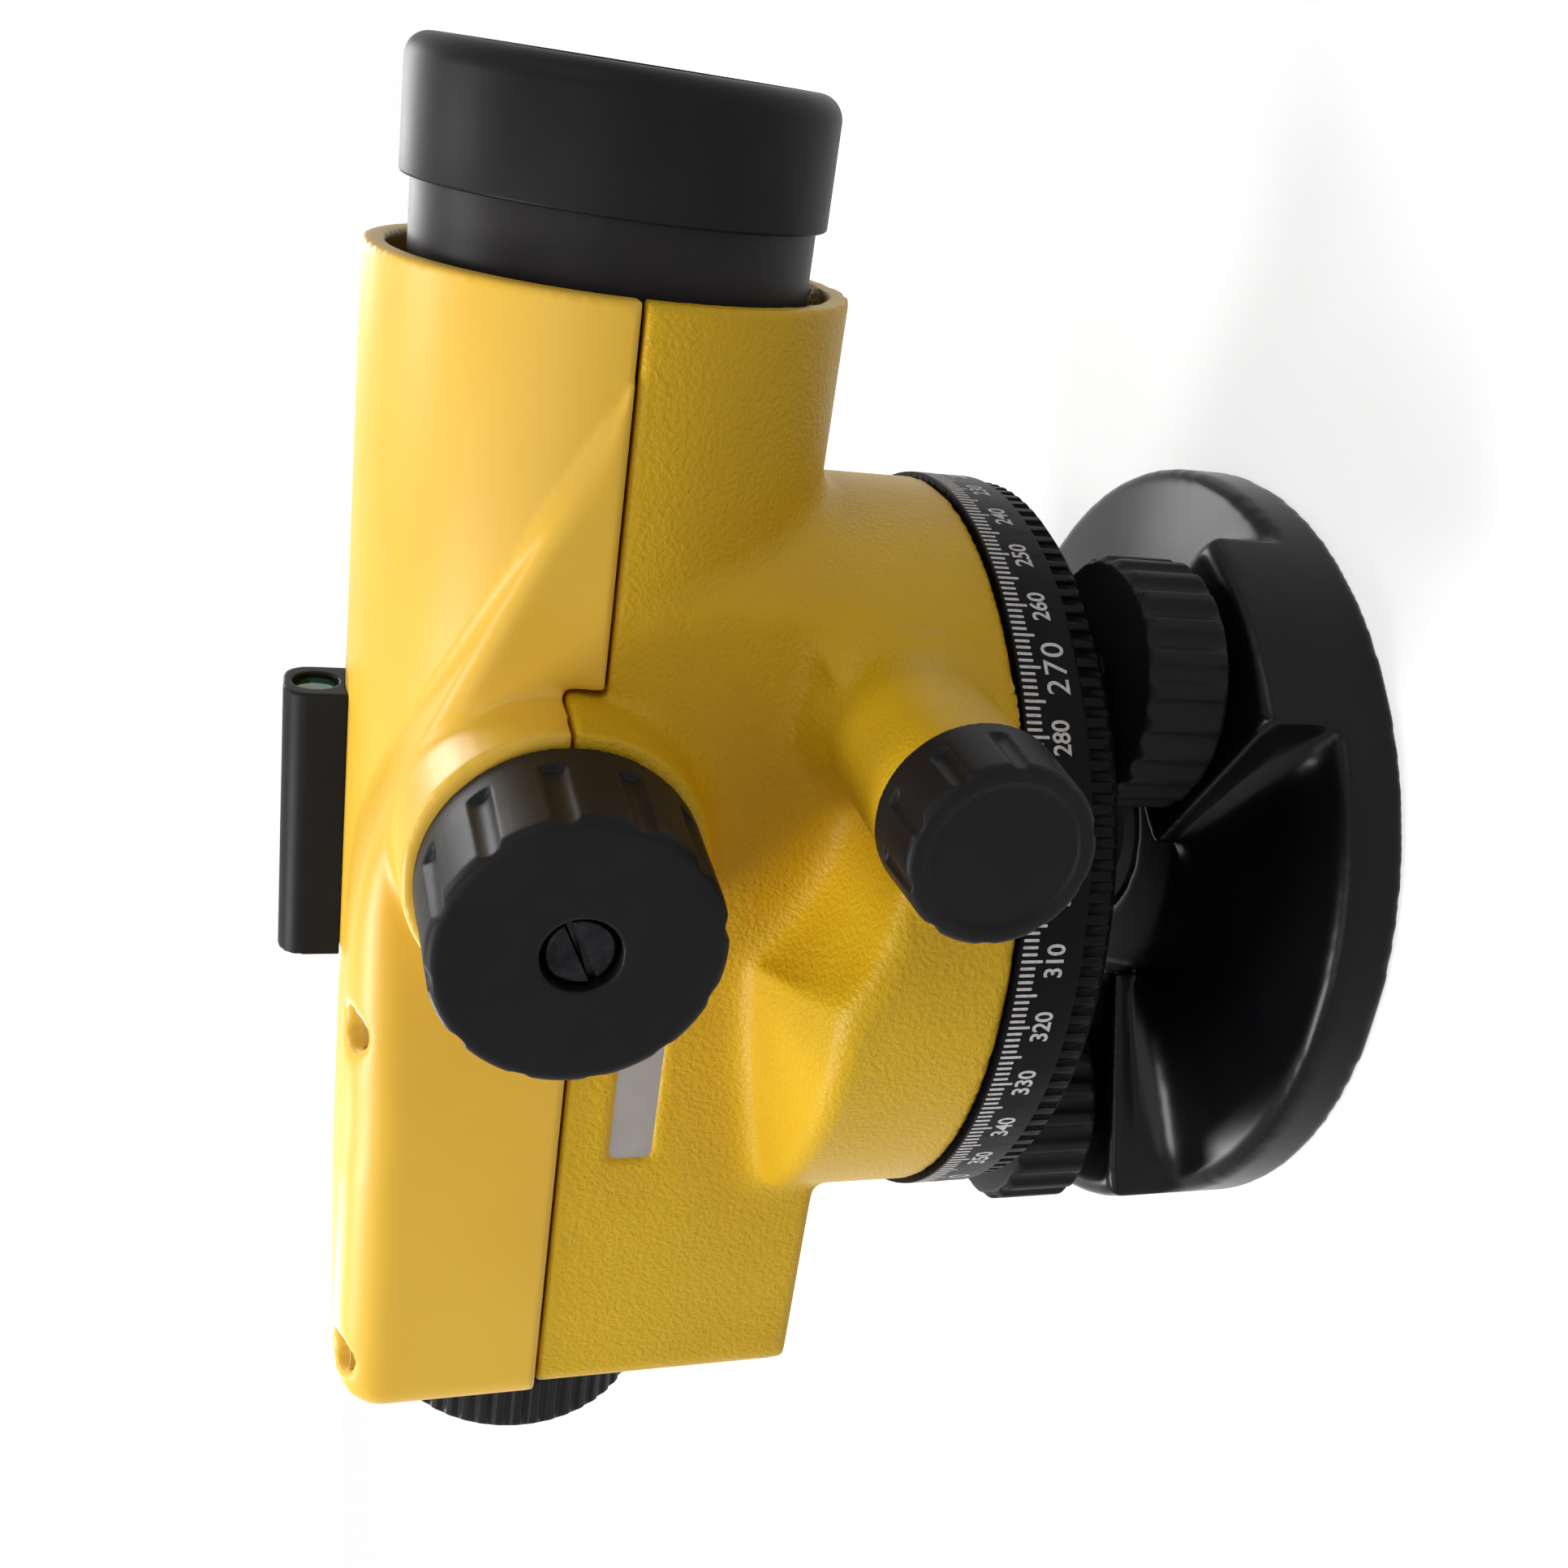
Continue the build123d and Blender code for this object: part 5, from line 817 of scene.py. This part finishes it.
def seenDirectly(tree):
    # 1 for rays that show the background itself, in the camera or in metal and glass
    rays = addNode(tree, "ShaderNodeLightPath")
    first = addNode(tree, "ShaderNodeMath", {"operation": "MAXIMUM"},
                    {0: rays.outputs["Is Camera Ray"], 1: rays.outputs["Is Transmission Ray"]})
    return addNode(tree, "ShaderNodeMath", {"operation": "MAXIMUM"},
                   {0: first.outputs[0], 1: rays.outputs["Is Glossy Ray"]}).outputs[0]


# Pale paper: the part that glows is only seen, and the shadow stays on the rest
floorMaterial = bpy.data.materials.new("pale_paper")
floorMaterial.use_nodes = True
tree = floorMaterial.node_tree
tree.nodes.clear()
paper = addNode(tree, "ShaderNodeBsdfDiffuse", {"Color": [stage["paper"]] * 3 + [1], "Roughness": 0.8})
place = addNode(tree, "ShaderNodeTexCoord").outputs["Object"]
away = addNode(tree, "ShaderNodeVectorMath", {"operation": "LENGTH"}, {0: place})
farther = addNode(tree, "ShaderNodeMapRange",
                  {"interpolation_type": "SMOOTHSTEP",
                   "From Min": stage["glowFrom"] * mm, "From Max": stage["glowTo"] * mm,
                   "To Min": stage["nearGlow"], "To Max": stage["farGlow"]},
                  {"Value": away.outputs["Value"]})
glowLevel = addNode(tree, "ShaderNodeMath", {"operation": "MULTIPLY"},
                    {0: seenDirectly(tree), 1: farther.outputs[0]})
glow = addNode(tree, "ShaderNodeEmission", {"Color": (1, 1, 1, 1)}, {"Strength": glowLevel.outputs[0]})
both = addNode(tree, "ShaderNodeAddShader", {}, {0: paper.outputs[0], 1: glow.outputs[0]})
addNode(tree, "ShaderNodeOutputMaterial", links={"Surface": both.outputs[0]})
floor.data.materials.append(floorMaterial)

world = bpy.data.worlds.new("studio")
bpy.context.scene.world = world
world.use_nodes = True
tree = world.node_tree
tree.nodes.clear()
white = addNode(tree, "ShaderNodeBackground", {"Color": (1, 1, 1, 1), "Strength": 1.0})
soft = addNode(tree, "ShaderNodeBackground", {"Color": linear("F4F3F6"), "Strength": stage["worldLevel"]})
mixed = addNode(tree, "ShaderNodeMixShader", {},
                {0: seenDirectly(tree), 1: soft.outputs[0], 2: white.outputs[0]})
addNode(tree, "ShaderNodeOutputWorld", links={"Surface": mixed.outputs[0]})

lamps = {
    "key": {"place": (-250, -150, 520), "size": 180, "power": 2.4},
    "top": {"place": (50, 60, 560), "size": 100, "power": 0.8},
    "far": {"place": (90, 430, 330), "size": 180, "power": 1.0},
    "farRear": {"place": (-390, 240, 330), "size": 110, "power": 0.8},
    "near": {"place": (-40, -420, 360), "size": 300, "power": 0.5},
    "front": {"place": (420, -220, 300), "size": 240, "power": 0.38},
}
for lampName, lamp in lamps.items():
    light = bpy.data.lights.new(lampName, "AREA")
    light.energy = lamp["power"]
    light.size = lamp["size"] * mm
    lightObject = bpy.data.objects.new(lampName, light)
    bpy.context.scene.collection.objects.link(lightObject)
    place = Vector(lamp["place"]) * mm
    lightObject.location = place
    aim = Vector(stage["aim"]) * mm - place
    lightObject.rotation_euler = aim.to_track_quat("-Z", "Y").to_euler()

# The picture lies on its side: the instrument's top points to the left of the image
view = {"place": (93.042, -186.992, 121.782), "turn": (5.1473, 71.859, -61.4634),
        "lens": 36.4405, "shift": (-0.033588, -0.031749)}
cameraData = bpy.data.cameras.new("photoCamera")
camera = bpy.data.objects.new("photoCamera", cameraData)
bpy.context.scene.collection.objects.link(camera)
camera.location = Vector(view["place"]) * mm
camera.rotation_euler = [radians(a) for a in view["turn"]]
cameraData.sensor_width = 36
cameraData.lens = view["lens"]
cameraData.shift_x, cameraData.shift_y = view["shift"]
cameraData.clip_start = 10 * mm
bpy.context.scene.camera = camera
bpy.context.scene.view_settings.view_transform = "Standard"
print("stage ready")
